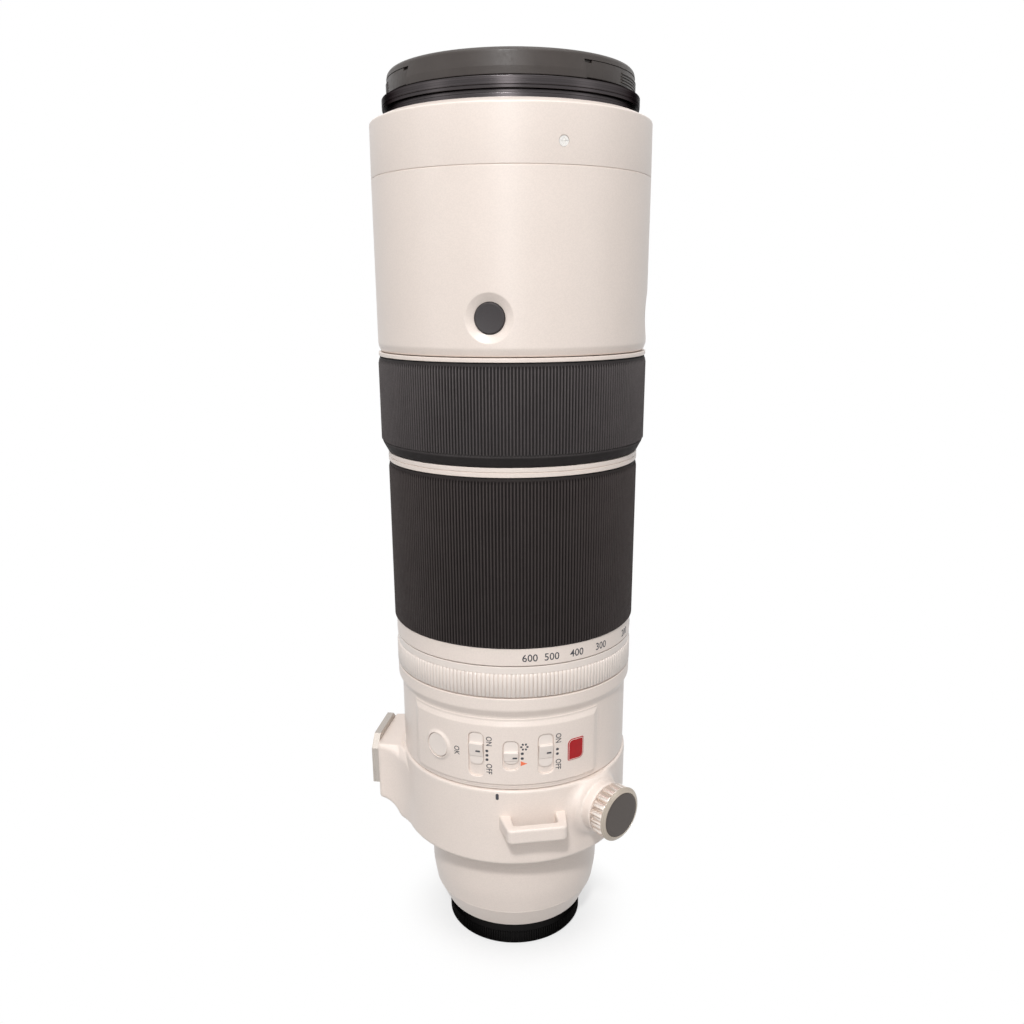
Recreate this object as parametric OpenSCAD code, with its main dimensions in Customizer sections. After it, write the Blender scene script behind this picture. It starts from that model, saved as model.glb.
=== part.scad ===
// Super telephoto zoom lens with tripod collar, front cap and rear cap.
// The origin is the centre of the rear cap's base, +Z runs along the optical
// axis towards the front, and the switch side faces -Y. Millimetres.

/* [Directions about the axis] */
// Turn of the switch side from -Y towards +X, degrees
side_turn = -8.6; // [-20:0.1:20]
// Turn of the collar's lock knob from -Y towards +X, degrees
lock_turn = 43; // [38:0.5:50]
// Turn of the near strap lug from -Y towards +X, degrees
lug_turn = 9; // [0:0.5:14]

/* [Fits] */
// Radial clearance of a ring or cell that runs on a tube
run_gap = 0.06; // [0.02:0.01:0.1]
// Gap between neighbours that move apart
part_gap = 0.3; // [0.2:0.05:0.45]
// Gap around a piece that is seated and fixed
seat_gap = 0.04; // [0.02:0.01:0.1]

/* [Rear cap and mount] */
// How far the rear cap stands out from the mount flange
rear_cap_over = 1.9; // [1.7:0.1:2.6]
// Height of the rear cap
rear_cap_h = 10.3; // [9.8:0.1:11]
// Wall of the rear cap
rear_cap_wall = 1.6; // [1.2:0.1:2]
// Outer radius of the bayonet tube
bayonet_r = 21.8; // [21.4:0.1:22]
// Wall of the bayonet tube
bayonet_wall = 2.2; // [1.8:0.1:2.4]
// Reach of the bayonet tube behind the flange
bayonet_reach = 5.6; // [5.2:0.1:6]
// How far a bayonet lug stands out from its tube
lug_reach = 2.2; // [1.8:0.1:2.4]
// Thickness of a bayonet lug
lug_t = 1.6; // [1.3:0.1:1.8]
// Width of the mount flange around the bayonet tube
flange_w = 4.7; // [4.4:0.1:5]
// Thickness of the mount flange
flange_t = 1.8; // [1.5:0.1:2.2]

/* [Rear cover] */
// How far the rear cover lies inside the neck's lower tube
rear_inset = 1.8; // [1.2:0.1:2.2]
// How far the rear cover draws in at its shoulder
shoulder_inset = 1.3; // [0.8:0.1:2]
// Width of the rear cover's face around the mount flange
rear_border = 3.1; // [2.8:0.1:4]
// Height of the tapered band beside the mount
rear_band_h = 9.4; // [8.5:0.1:10]
// Height of the rounded stretch above the band
rear_round_h = 4.5; // [3.5:0.1:6]
// Height of the rear cover from the flange to the neck
rear_cover_h = 31.8; // [30:0.1:34]
// Wall of the rear cover
rear_wall = 2.3; // [2:0.1:2.5]

/* [Rear barrel and tripod collar] */
// How far the neck's lower tube lies inside the neck
neck_tube_inset = 4.9; // [4.4:0.1:5.2]
// Height of the neck's lower tube
neck_tube_h = 11; // [10:0.1:12]
// How far the neck lies inside the switch housing
neck_inset = 3.6; // [3.4:0.1:4]
// How far the collar stands out from the switch housing
collar_rise = 0.8; // [0.6:0.1:1.8]
// Wall of the collar
collar_wall = 2.75; // [2.5:0.05:2.9]
// Height of the collar
collar_h = 32; // [31:0.5:34]
// Thickness of the collar's lower lip
collar_lip_t = 2.5; // [2:0.1:3]
// How far the switch housing lies inside the top band
body_inset = 1.5; // [1.1:0.1:1.8]
// Height of the switch housing
body_h = 30; // [27.5:0.5:32]
// Height of the cone above the switch housing
body_cone_h = 2.8; // [2:0.1:5]
// Height of the wide top band of the rear barrel
body_top_h = 5; // [4.6:0.1:7]
// How far the wide top band lies inside the aperture ring
top_inset = 0.1; // [0:0.05:0.6]
// Wall of the rear barrel
body_wall = 2.2; // [1.8:0.1:2.4]

/* [Tripod foot and lock] */
// How far the foot block's face stands out from the collar
foot_out = 8.9; // [7:0.1:13]
// Width of the foot block across the axis
foot_w = 32; // [28:0.5:34]
// Height of the foot block along the axis
foot_h = 28; // [26:0.5:30]
// Thickness of the foot plate
plate_t = 2.7; // [2:0.1:4]
// Radius of the tripod socket, a quarter inch thread
socket_r = 3.175; // [3.175:0.001:4.7625]
// Depth of the tripod socket
socket_depth = 9.2; // [8.5:0.1:9.6]
// How far the knob's face stands out from the collar
knob_out = 13.9; // [12.6:0.1:16]
// Grip radius of the knob
knob_r = 10.2; // [9.6:0.1:10.5]
// Radius of the clamp screw
screw_r = 2.9; // [2.5:0.1:3.2]
// How far the strap lug's face stands out from the collar
lug_out = 9.8; // [8.2:0.1:11.6]
// Width of the strap lug at its face
lug_w = 22.4; // [20:0.2:26]
// Height of the strap lug along the axis
lug_h = 5.9; // [5:0.1:7]
// Radial thickness of the strap lug's bar
lug_bar = 3.8; // [3:0.1:4]

/* [Control panel] */
// How far the panel's face stands out from the housing
panel_rise = 0.9; // [0.7:0.05:1.3]
// Width of a switch slot
slot_w = 6.2; // [5.6:0.1:6.6]
// Length of the focus mode slot
mode_slot = 18.2; // [17:0.1:18.6]
// Length of the preset slot
preset_slot = 12; // [11:0.1:14]
// Length of the focus range slot
range_slot = 16.4; // [15:0.1:17.4]
// Length of the focus mode slider
mode_slider = 13; // [12:0.1:13.4]
// Length of the preset slider
preset_slider = 9.2; // [8.4:0.1:9.4]
// Length of the focus range slider
range_slider = 13.2; // [12:0.1:13.6]
// Radius of the set button
set_r = 4.7; // [4.2:0.1:5]

/* [Rings] */
// Radial room for the rings between the fixed tube and the front barrel's surface
ring_room = 8.65; // [8.4:0.05:9]
// Wall of the fixed tube
tube_wall = 1.8; // [1.6:0.1:2]
// How far the aperture ring lies inside the zoom grip
aperture_inset = 0.45; // [0.1:0.05:0.8]
// Height of the aperture ring
aperture_h = 12.2; // [11.5:0.1:14]
// How far the zoom ring's scale lies inside the zoom grip
scale_inset = 0.65; // [0.3:0.05:1]
// Height of the zoom ring's scale
scale_h = 6.75; // [6:0.05:8]
// How far the zoom grip lies inside the front barrel's surface
zoom_grip_inset = 2; // [1.5:0.05:2.4]
// Height of the zoom grip
zoom_grip_h = 62; // [60:0.5:64]
// Height of the middle trim ring
middle_trim_h = 3.4; // [3:0.1:4.4]
// How far the focus grip stands out from the front barrel
focus_grip_rise = 0.25; // [0:0.05:0.8]
// Height of the focus grip
focus_grip_h = 30.6; // [30:0.2:33]
// Height of the tapered lip under the focus grip
focus_lip_h = 3.85; // [3:0.05:5]
// Thickness of both rubber grips
grip_t = 1.85; // [1.5:0.05:2]
// Height of the front trim ring
front_trim_h = 1.4; // [1.1:0.1:2]
// Turn of the zoom ring from its short to its long end, degrees
zoom_turn = 74; // [60:1:76]

/* [Front barrel and front cap] */
// Width of the front ring around the hood ring
front_ring_w = 4.75; // [4.5:0.05:5.2]
// Height of the front barrel
front_h = 58.2; // [56:0.2:62]
// Wall of the front barrel
front_wall = 2; // [1.7:0.1:2.3]
// Height of the front ring up to its bevel
front_ring_h = 17.8; // [17.2:0.1:19]
// Wall of the hood ring around the filter thread
hood_wall = 3.9; // [3.7:0.1:4.3]
// Radius of the filter thread, which sets the radius of the barrel and its rings
filter_r = 41; // [38:0.5:43.5]
// Length of the filter thread
filter_len = 7; // [6.4:0.1:7.5]
// Radius of the focus hold buttons
hold_r = 5; // [4.4:0.1:5.2]
// Radius of the dish around a focus hold button
dish_r = 8; // [6.6:0.1:8.4]
// How far the front cap lies inside the hood ring
cap_inset = 1.3; // [0.5:0.1:1.7]
// Height of the front cap
cap_h = 8; // [7.8:0.1:9]
// Travel of the front cap's levers
cap_travel = 2; // [1.5:0.1:2.2]

/* [Optics] */
// How far the front element's edge lies inside the filter thread
front_glass_inset = 2; // [1.8:0.1:3]
// How far the second element's edge lies inside the front element's
second_glass_inset = 3; // [2.8:0.1:4]
// Wall of the zoom group's cell around its element
zoom_cell_wall = 2.7; // [2.4:0.1:4]
// Radius of the focus group's element
focus_glass_r = 19; // [17:0.1:19.4]
// Radial room around the stabiliser's element inside the guide tube
shake_room = 20.3; // [19.9:0.1:22]
// Wall of the rear cell around its wider element
inner_cell_wall = 3; // [2.6:0.1:4.5]
// How far the last rear element's edge lies inside the mount's shoulder
rear_glass_inset = 6; // [5.6:0.1:7]
// Travel of the zoom group
zoom_travel = 45; // [40:0.5:46]
// Travel of the focus group
focus_travel = 30; // [20:0.5:34]
// Travel of the stabiliser to either side
shake_travel = 1; // [0.5:0.1:1.2]

/* [Hidden] */
$fn = 120;
// Overrun of a cut past the face that it opens
over = 1;
// Small chamfer on turned edges
edge = 0.3;
// Colours of the finishes
white = "#e8ded8";
rubber = "#3b3a3a";
black = "#232224";
silver = "#b9b3ac";
dark_metal = "#5b5450";
glass = "#9fb8c8";

// Radii from the filter thread inwards to the fixed tube, then back along the barrel
hood_r = filter_r + hood_wall;
front_r = hood_r + front_ring_w;
tube_r = front_r - ring_room;
focus_grip_r = front_r + focus_grip_rise;
zoom_grip_r = front_r - zoom_grip_inset;
scale_r = zoom_grip_r - scale_inset;
aperture_r = zoom_grip_r - aperture_inset;
top_r = aperture_r - top_inset;
body_r = top_r - body_inset;
panel_r = body_r + panel_rise;
collar_r = body_r + collar_rise;
neck_r = body_r - neck_inset;
neck_tube_r = neck_r - neck_tube_inset;
rear_r = neck_tube_r - rear_inset;
rear_shoulder_r = rear_r - shoulder_inset;
cap_r = hood_r - cap_inset;
foot_reach = collar_r + foot_out;
knob_reach = collar_r + knob_out;
lug_face = collar_r + lug_out;

// Radii of the mount, from the bayonet tube outwards
flange_r = bayonet_r + flange_w;
rear_end_r = flange_r + rear_border;
rear_cap_r = flange_r + rear_cap_over;

// Heights of the pieces above the base, from the rear to the front
flange_z = rear_cap_h + part_gap;
band_z = flange_z + rear_band_h;
rear_top_z = flange_z + rear_cover_h;
neck_floor_z = rear_top_z + neck_tube_h;
collar_z = neck_floor_z - part_gap - collar_lip_t;
collar_top_z = collar_z + collar_h;
body_z = collar_top_z + part_gap;
cone_z = body_z + body_h;
top_band_z = cone_z + body_cone_h;
body_top_z = top_band_z + body_top_h;
aperture_z = body_top_z + part_gap;
aperture_top_z = aperture_z + aperture_h;
zoom_z = aperture_top_z + part_gap;
zoom_grip_z = zoom_z + scale_h;
zoom_top_z = zoom_grip_z + zoom_grip_h;
middle_trim_z = zoom_top_z + part_gap;
middle_trim_top_z = middle_trim_z + middle_trim_h;
focus_z = middle_trim_top_z + part_gap;
focus_grip_z = focus_z + focus_lip_h;
focus_top_z = focus_grip_z + focus_grip_h;
front_trim_z = focus_top_z + part_gap;
front_trim_top_z = front_trim_z + front_trim_h;
front_z = front_trim_top_z + part_gap;
front_top_z = front_z + front_h;
bevel_z = front_top_z + front_ring_h;
bevel_h = 1.8;
bevel_top_z = bevel_z + bevel_h;
hood_neck_h = 1.5;
hood_gap_h = 0.9;
hood_gap_z = bevel_top_z + hood_neck_h;
hood_z = hood_gap_z + hood_gap_h;
hood_h = 3.8;
hood_top_z = hood_z + hood_h;
cap_z = hood_top_z + part_gap;
cap_top_z = cap_z + cap_h;

// Directions of the foot, the top of the lens and the far side
foot_turn = side_turn - 90;
top_turn = side_turn + 90;
back_turn = side_turn + 180;

// Mount flange and its screws
bayonet_z = flange_z - bayonet_reach;
bayonet_in_r = bayonet_r - bayonet_wall;
flange_top_z = flange_z + flange_t;
mount_lug_arc = 50;
mount_lug_count = 3;
mount_screw_count = 4;
mount_screw_r = 0.9;
mount_head_r = 1.5;
mount_head_h = 0.9;
mount_screw_pitch_r = (bayonet_r + flange_r) / 2 + mount_screw_r / 2;
mount_screw_len = 3.6;
shoulder_t = 2.8;
shoulder_reach = 1.2;
shoulder_r = bayonet_r + shoulder_reach;
board_drop = 6.4;
board_z = rear_top_z - board_drop;
tail_rise = 0.6;
tail_z = flange_top_z + tail_rise;

// Collar bearing
collar_bore = collar_r - collar_wall;
body_in_r = body_r - body_wall;
neck_wall = 2.2;
neck_in_r = neck_r - neck_wall;
neck_tube_wall = 2.6;
neck_tube_in_r = neck_tube_r - neck_tube_wall;
floor_t = 2.2;
shelf_t = 2.5;
lip_bore = neck_tube_r + part_gap;
retainer_w = 3.9;
retainer_r = neck_tube_r + retainer_w;
retainer_h = 2.5;
slide_ring_h = 3;
slide_ring_inset = 3;
collar_rim = 0.8;

// Foot, in its own directions: x across, y inwards, z along the axis
foot_rise = 7.5;
foot_z = collar_z + foot_rise;
foot_top_z = foot_z + foot_h;
foot_chamfer = 4.5;
flare_r = 9;
flare_sink = 0.3;
flare_steps = 6;
arm_arc_r = 11.6;
arm_arc_out = 1.7;
arm_slope = 2.8;
plate_inset = 1;
plate_low_inset = 6.7;
plate_mid_z = (foot_z + plate_low_inset + foot_top_z - plate_inset) / 2;
plate_h = foot_h - plate_inset - plate_low_inset;
plate_w = foot_w - 2 * plate_inset;
plate_chamfer = 4.8;
bush_r = 5.4;
foot_screw_r = 1.6;
foot_head_r = 2.6;
foot_head_h = 1.2;
foot_screw_inset = 4;
foot_screw_x = plate_w / 2 - foot_screw_inset;
foot_screw_sink = 4;

// Lock knob, boss, screw and pad
knob_rise = 20.2;
knob_z = collar_z + knob_rise;
knob_len = 7.2;
knob_gap = 0.5;
boss_r = 10;
knob_base = knob_reach - knob_len;
boss_reach = knob_base - knob_gap;
rim_t = 2.3;
rim_over = 0.6;
rim_r = knob_r + rim_over;
face_inset = 2;
face_r = knob_r - face_inset;
face_recess = 0.5;
flute_count = 18;
flute_r = 1;
pad_r = 3.9;
pad_clear = 0.35;
pad_in = neck_r + pad_clear;
pad_t = 1.8;
pad_room = 1.8;

// Strap lug
lug_rise = 15.5;
lug_z = collar_z + lug_rise;
lug_splay = 4;
lug_root_w = lug_w + lug_splay;
lug_post = 2.7;
lug_round = 1;
lug_far_turn = 2 * foot_turn - lug_turn;

// Control panel, its slots and switches
panel_low = 1;
panel_high = 0.9;
panel_z = body_z + panel_low;
panel_h = body_h - panel_low - panel_high;
panel_left = side_turn - 49.2;
panel_right = side_turn + 54.1;
panel_border = 0.9;
panel_border_t = 0.35;
panel_corner = 3.4;
slot_corner = 2.3;
set_turn = side_turn - 30;
mode_turn = side_turn - 9.3;
preset_turn = side_turn + 7.2;
range_turn = side_turn + 23.6;
badge_turn = side_turn + 38.8;
switch_rise = 14.4;
mode_drop = 0.3;
switch_mid_z = body_z + switch_rise;
mode_mid_z = switch_mid_z - mode_drop;
slider_gap = 0.2;
slider_rise = 0.3;
ridge_rise = 0.5;
ridge_share = 0.28;
stem_r = 1;
stem_out = 0.7;
stem_in = body_in_r - stem_out;
slider_clear = 0.15;
slider_foot = body_r + slider_clear;
set_disc_t = 0.6;
set_rise = 0.3;
set_ring_w = 1.4;
set_ring_rise = 0.8;
badge_w = 7;
badge_h = 8.8;
badge_t = 0.25;

// Tubes inside: fixed tube, cam barrel and guide tube, each inside the last
tube_in_r = tube_r - tube_wall;
tube_flange_t = 3.8;
tube_reach = 3;
tube_top_z = front_z + tube_reach;
cam_r = tube_in_r - run_gap;
cam_wall = 1.9;
guide_r = cam_r - cam_wall - run_gap;
guide_wall = 1.9;
guide_in_r = guide_r - guide_wall;

// Radii of the elements and of the rear cell
front_glass_r = filter_r - front_glass_inset;
second_glass_r = front_glass_r - second_glass_inset;
zoom_glass_r = guide_in_r - run_gap - zoom_cell_wall;
stabiliser_glass_r = guide_in_r - shake_room;
rear_cell_room = 6;
rear_cell_r = rear_r - rear_wall - rear_cell_room;
inner_glass_r = rear_cell_r - inner_cell_wall;
rear_glass_r = shoulder_r - rear_glass_inset;

// Radii of curvature of the elements' faces, as shares of their own radii
front_curve = front_glass_r * 3.33;
front_back_curve = front_glass_r * 8.2;
second_curve = second_glass_r * 5.5;
zoom_curve = zoom_glass_r * 4.6;
focus_curve = focus_glass_r * 4.2;
shake_curve = stabiliser_glass_r * 4.6;
inner_curve = inner_glass_r * 4.2;
rear_curve = rear_glass_r * 3.5;

// Heights of the guide tube and of the cam barrel
guide_z = body_top_z + part_gap;
guide_flange_t = 3;
guide_drop = 2;
guide_top_z = front_z - guide_drop;
cam_rise = 2;
cam_drop = 3;
cam_z = zoom_z + cam_rise;
cam_top_z = guide_top_z - cam_drop;
cam_in_r = cam_r - cam_wall;
key_rise = 20;
key_z = zoom_grip_z + key_rise;
key_r = 2;
key_sink = 1;
key_reach = 1.8;
key_turns = [10, 190];

// Zoom group: three followers in straight slots and helical cams
zoom_cell_h = 20;
zoom_cell_drop = 16;
zoom_cell_z = guide_top_z - zoom_cell_h - zoom_cell_drop;
zoom_seat_rise = 7;
zoom_glass_t = 7;
zoom_lip = 2.5;
follower_z = zoom_cell_z + zoom_cell_h / 2;
follower_r = 1.6;
follower_gap = 0.12;
follower_turns = [30, 150, 270];
cam_arc = 9.2;
cam_ease = 1.6;
cam_run_out = follower_r + cam_ease;
follower_short = 0.4;
follower_sink = 1;

// Stabiliser and iris, on the guide tube's rear flange
unit_z = guide_z + guide_flange_t;
base_t = 6;
base_r = guide_in_r - seat_gap;
shake_gap = 0.5;
shake_z = unit_z + base_t + shake_gap;
shake_cell_h = 6;
shake_wall = 3;
shake_lip = 1.5;
shake_glass_t = 3;
rod_z = shake_z + shake_cell_h / 2;
shake_rod_r = 1;
shake_rod_gap_x = 1.5;
shake_corner_gap = 2.56;
shake_rod_x = stabiliser_glass_r + shake_wall + shake_travel + shake_rod_gap_x;
shake_corner_r = guide_in_r - shake_corner_gap;
shake_rod_y = sqrt(shake_corner_r * shake_corner_r - shake_rod_x * shake_rod_x);
shake_rod_tail = 8;
shake_knuckle = 0.4;
frame_lug_w = 3;
frame_lug_d = 4.4;
frame_lug_over = 2.2;
frame_lug_a = -5;
frame_lug_b = 9;
cell_lug_w = 3;
cell_lug_h = 4;
cell_lug_y = 5;
cell_lug_over = 2.4;
iris_rise = 5;
iris_z = shake_z + shake_cell_h + iris_rise;
iris_h = 10;
iris_floor_t = 1.5;
iris_bore = 17;
blade_count = 9;
blade_t = 0.3;
blade_pitch = 0.55;
blade_in_r = 17.5;
blade_w = 5;
blade_arc = 80;
blade_pin_r = 0.8;
blade_pin_reach = 24;
blade_tab = 1.4;
blade_clear = 0.3;
iris_wall = 1.6;

// Focus group on two rods beside its motor
rear_cell_flange_t = 2.75;
rear_cell_flange_z = neck_floor_z + floor_t + seat_gap;
rear_cell_top_z = rear_cell_flange_z + rear_cell_flange_t;
rear_lip = 1.5;
inner_lip = 2;
rear_seat_rise = 5;
rear_glass_t = 5;
rear_seat_top = 13;
rear_neck_rise = 15;
tail_h = 3;
tail_short = 0.4;
inner_seat_drop = 9;
inner_glass_t = 4.5;
rod_inset = 1.78;
rod_reach = guide_in_r - rod_inset;
rod_r = 1.2;
rod_sink = 1.4;
rod_turns = [100, 280];
motor_turn = 190;
focus_cell_h = 12;
focus_cell_drop = 9;
focus_cell_z = guide_z - focus_cell_drop - focus_cell_h;
focus_cell_wall = 3;
focus_cell_r = focus_glass_r + focus_cell_wall;
focus_seat_rise = 3;
focus_glass_t = 5;
focus_lip = 2;
sleeve_r = 2.6;
bridge_w = 3.4;
bridge_short = 2;
bridge_round = 1;
coil_w = 8;
motor_w = 12;
motor_clear = 0.9;
motor_t = 2.9;
motor_in = neck_in_r - motor_clear - motor_t;
motor_room = 5;
motor_round = 0.8;
motor_h = guide_z - rear_cell_top_z - motor_room;

// Front cell
spigot_gap = 0.1;
cell_r = hood_r;
spigot_h = 3.5;
cell_rise = 0.5;
cell_z = front_top_z - spigot_h + cell_rise;
cell_tail = 15;
cell_wall = 2.5;
second_lip = 1.5;
second_seat = 3.5;
second_glass_t = 4.5;
front_seat = 1;
front_glass_t = 7.5;
glass_gap = 0.08;

// Filter ring's thread, throat and mouth
thread_drop = 6.6;
filter_z = bevel_top_z - thread_drop;
throat_h = 4;
throat_inset = 1.4;
mouth_rise = 0.7;
mouth_r = filter_r + mouth_rise;

// Front barrel's buttons and the front ring's screws
hold_rise = 12.3;
hold_z = front_z + hold_rise;
hold_gap = 0.2;
hold_flange = 1;
hold_flange_t = 1;
hold_flange_gap = 0.75;
hold_sink = 0.8;
barrel_in_r = front_r - front_wall;
ring_screw_r = 1.6;
ring_screw_rise = 6.8;
ring_screw_z = front_top_z + ring_screw_rise;
ring_screw_deep = 2.4;

// Front cap's plate, wall and levers
cap_plate = 2.4;
cap_wall = 3;
lever_deep = 5;
lever_inset = 0.4;
lever_room = 0.6;
pocket_share = 0.7454;
pocket_half = cap_r * pocket_share;
pocket_r = cap_r - lever_deep - cap_travel - lever_room;

// Straight up the axis: a tube between two heights
module tube(r_out, r_in, z0, z1) {
    translate([0, 0, z0])
        difference() {
            cylinder(h = z1 - z0, r = r_out);
            translate([0, 0, -over])
                cylinder(h = z1 - z0 + 2 * over, r = r_in);
        }
}

// A turned piece from its outline in radius and height
module turned(outline) {
    rotate_extrude()
        polygon(outline);
}

// Turns its children from -Y towards +X
module at_turn(turn) {
    rotate([0, 0, turn])
        children();
}

// Sweeps an outline in radius and height from one turn to another
module sector(turn_a, turn_b) {
    rotate([0, 0, turn_a - 90])
        rotate_extrude(angle = turn_b - turn_a)
            children();
}

// A band of a ring between two turns
module band(turn_a, turn_b, r_in, r_out, z0, z1) {
    sector(turn_a, turn_b)
        translate([r_in, z0])
            square([r_out - r_in, z1 - z0]);
}

// A round rod that points away from the axis
module radial_rod(turn, in, out, z, r) {
    at_turn(turn)
        translate([0, -in, z])
            rotate([90, 0, 0])
                cylinder(h = out - in, r = r);
}

// A cone that points away from the axis
module radial_cone(turn, in, out, z, r_in, r_out) {
    at_turn(turn)
        translate([0, -in, z])
            rotate([90, 0, 0])
                cylinder(h = out - in, r1 = r_in, r2 = r_out);
}

// A rounded rectangle about its centre
module rounded(w, h, c) {
    square([w - 2 * c, h], center = true);
    square([w, h - 2 * c], center = true);
    for (x = [-1, 1], y = [-1, 1])
        translate([x * (w / 2 - c), y * (h / 2 - c)])
            circle(r = c);
}

// A rounded block that points away from the axis
module radial_block(turn, in, out, z, w, h, c) {
    at_turn(turn)
        translate([0, -in, z])
            rotate([90, 0, 0])
                linear_extrude(height = out - in)
                    rounded(w, h, c);
}

// A lens element: edge from z0 to z1, front and back of their own curvature
module element(r, z0, z1, curve_front, curve_back) {
    sag_front = curve_front - sqrt(curve_front * curve_front - r * r);
    sag_back = curve_back - sqrt(curve_back * curve_back - r * r);
    color(glass, 0.5)
        intersection() {
            translate([0, 0, z0 - sag_back])
                cylinder(h = z1 - z0 + sag_front + sag_back, r = r);
            translate([0, 0, z1 + sag_front - curve_front])
                sphere(r = curve_front, $fn = 300);
            translate([0, 0, z0 - sag_back + curve_back])
                sphere(r = curve_back, $fn = 300);
        }
}

// Height of an element's edge over the flat lip that its convex back rests on
function seat_lift(r, lip, curve) =
    sqrt(curve * curve - (r - lip) * (r - lip)) - sqrt(curve * curve - r * r) + seat_gap;

// Rear cap: a cup with three claws that hold the bayonet lugs
module rear_cap() {
    claw_arc = 40;
    claw_gap = 0.4;
    claw_z = bayonet_z + lug_t + claw_gap;
    claw_t = 1.6;
    cup_in_r = rear_cap_r - rear_cap_wall;
    color(black) {
        turned([[0, 0], [rear_cap_r - 2 * edge, 0], [rear_cap_r, 2 * edge],
                [rear_cap_r, rear_cap_h - edge], [rear_cap_r - edge, rear_cap_h],
                [cup_in_r, rear_cap_h], [cup_in_r, rear_cap_wall], [0, rear_cap_wall]]);
        for (i = [0 : mount_lug_count - 1])
            band(120 * i - claw_arc / 2, 120 * i + claw_arc / 2,
                 bayonet_r + claw_gap, cup_in_r + seat_gap, claw_z, claw_z + claw_t);
    }
}

// Rear cover: the shell between the mount and the collar
module rear_cover() {
    in_r = rear_r - rear_wall;
    board_ledge = 1.6;
    taper_h = 4;
    taper_z = band_z + taper_h;
    shoulder_slope = 2;
    spigot_r = neck_tube_in_r - seat_gap;
    spigot_h = 6.6;
    spigot_top_z = rear_top_z + spigot_h;
    color(white)
        difference() {
            turned([[flange_r + seat_gap, flange_z], [rear_end_r, flange_z],
                    [rear_shoulder_r, band_z], [rear_r - edge, band_z + rear_round_h / 2],
                    [rear_r, band_z + rear_round_h], [rear_r, rear_top_z],
                    [spigot_r, rear_top_z], [spigot_r, spigot_top_z],
                    [in_r, spigot_top_z], [in_r, board_z], [in_r - board_ledge, board_z],
                    [in_r - board_ledge, taper_z],
                    [shoulder_r + shoulder_slope, flange_top_z + seat_gap + shoulder_t],
                    [shoulder_r, flange_top_z + seat_gap + shoulder_t],
                    [shoulder_r, flange_top_z + seat_gap],
                    [flange_r + seat_gap, flange_top_z + seat_gap]]);
            for (i = [0 : mount_screw_count - 1])
                at_turn(45 + 90 * i)
                    translate([0, -mount_screw_pitch_r, flange_z])
                        cylinder(h = mount_screw_len + seat_gap, r = mount_screw_r + seat_gap);
        }
}

// Mount plate: flange, bayonet tube and three lugs
module mount_plate() {
    color(silver)
        difference() {
            union() {
                turned([[bayonet_in_r, bayonet_z], [bayonet_r, bayonet_z], [bayonet_r, flange_z],
                        [flange_r, flange_z], [flange_r, flange_top_z],
                        [bayonet_in_r, flange_top_z]]);
                for (i = [0 : mount_lug_count - 1])
                    band(120 * i - mount_lug_arc / 2, 120 * i + mount_lug_arc / 2,
                         bayonet_r - seat_gap, bayonet_r + lug_reach, bayonet_z,
                         bayonet_z + lug_t);
            }
            for (i = [0 : mount_screw_count - 1])
                at_turn(45 + 90 * i)
                    translate([0, -mount_screw_pitch_r, flange_z - over]) {
                        cylinder(h = flange_t + 2 * over, r = mount_screw_r + seat_gap);
                        cylinder(h = mount_head_h + over + seat_gap, r = mount_head_r + seat_gap);
                    }
        }
}

// Four screws that hold the mount plate
module mount_screws() {
    color(silver)
        for (i = [0 : mount_screw_count - 1])
            at_turn(45 + 90 * i)
                translate([0, -mount_screw_pitch_r, flange_z]) {
                    cylinder(h = mount_head_h, r = mount_head_r);
                    cylinder(h = mount_screw_len, r = mount_screw_r);
                }
}

// Contact block with its row of contacts inside the bayonet tube
module contact_block() {
    block_t = 4;
    block_rise = 0.5;
    block_in = bayonet_in_r - block_t;
    block_z = bayonet_z + block_rise;
    row_r = block_in + block_t / 2;
    contact_deep = 2;
    contact_count = 10;
    contact_r = 0.55;
    contact_step = 6.6;
    contact_out = 0.4;
    first = -contact_step * (contact_count - 1) / 2;
    color(black)
        difference() {
            band(back_turn - 36, back_turn + 36, block_in, bayonet_in_r - seat_gap,
                 block_z, flange_top_z);
            for (i = [0 : contact_count - 1])
                at_turn(back_turn + first + contact_step * i)
                    translate([0, -row_r, block_z - over])
                        cylinder(h = over + contact_deep + seat_gap,
                                 r = contact_r + seat_gap);
        }
    color("#c9a24a")
        for (i = [0 : contact_count - 1])
            at_turn(back_turn + first + contact_step * i)
                translate([0, -row_r, block_z - contact_out])
                    cylinder(h = contact_deep + contact_out, r = contact_r);
}

// Main circuit board, a C-shaped plate on the rear cover's ledge
module circuit_board() {
    board_t = 1.2;
    board_w = 5.3;
    board_out = rear_r - rear_wall - seat_gap;
    color("#2f6b46")
        band(back_turn - 150, back_turn + 150, board_out - board_w, board_out,
             board_z + seat_gap, board_z + seat_gap + board_t);
}

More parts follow.
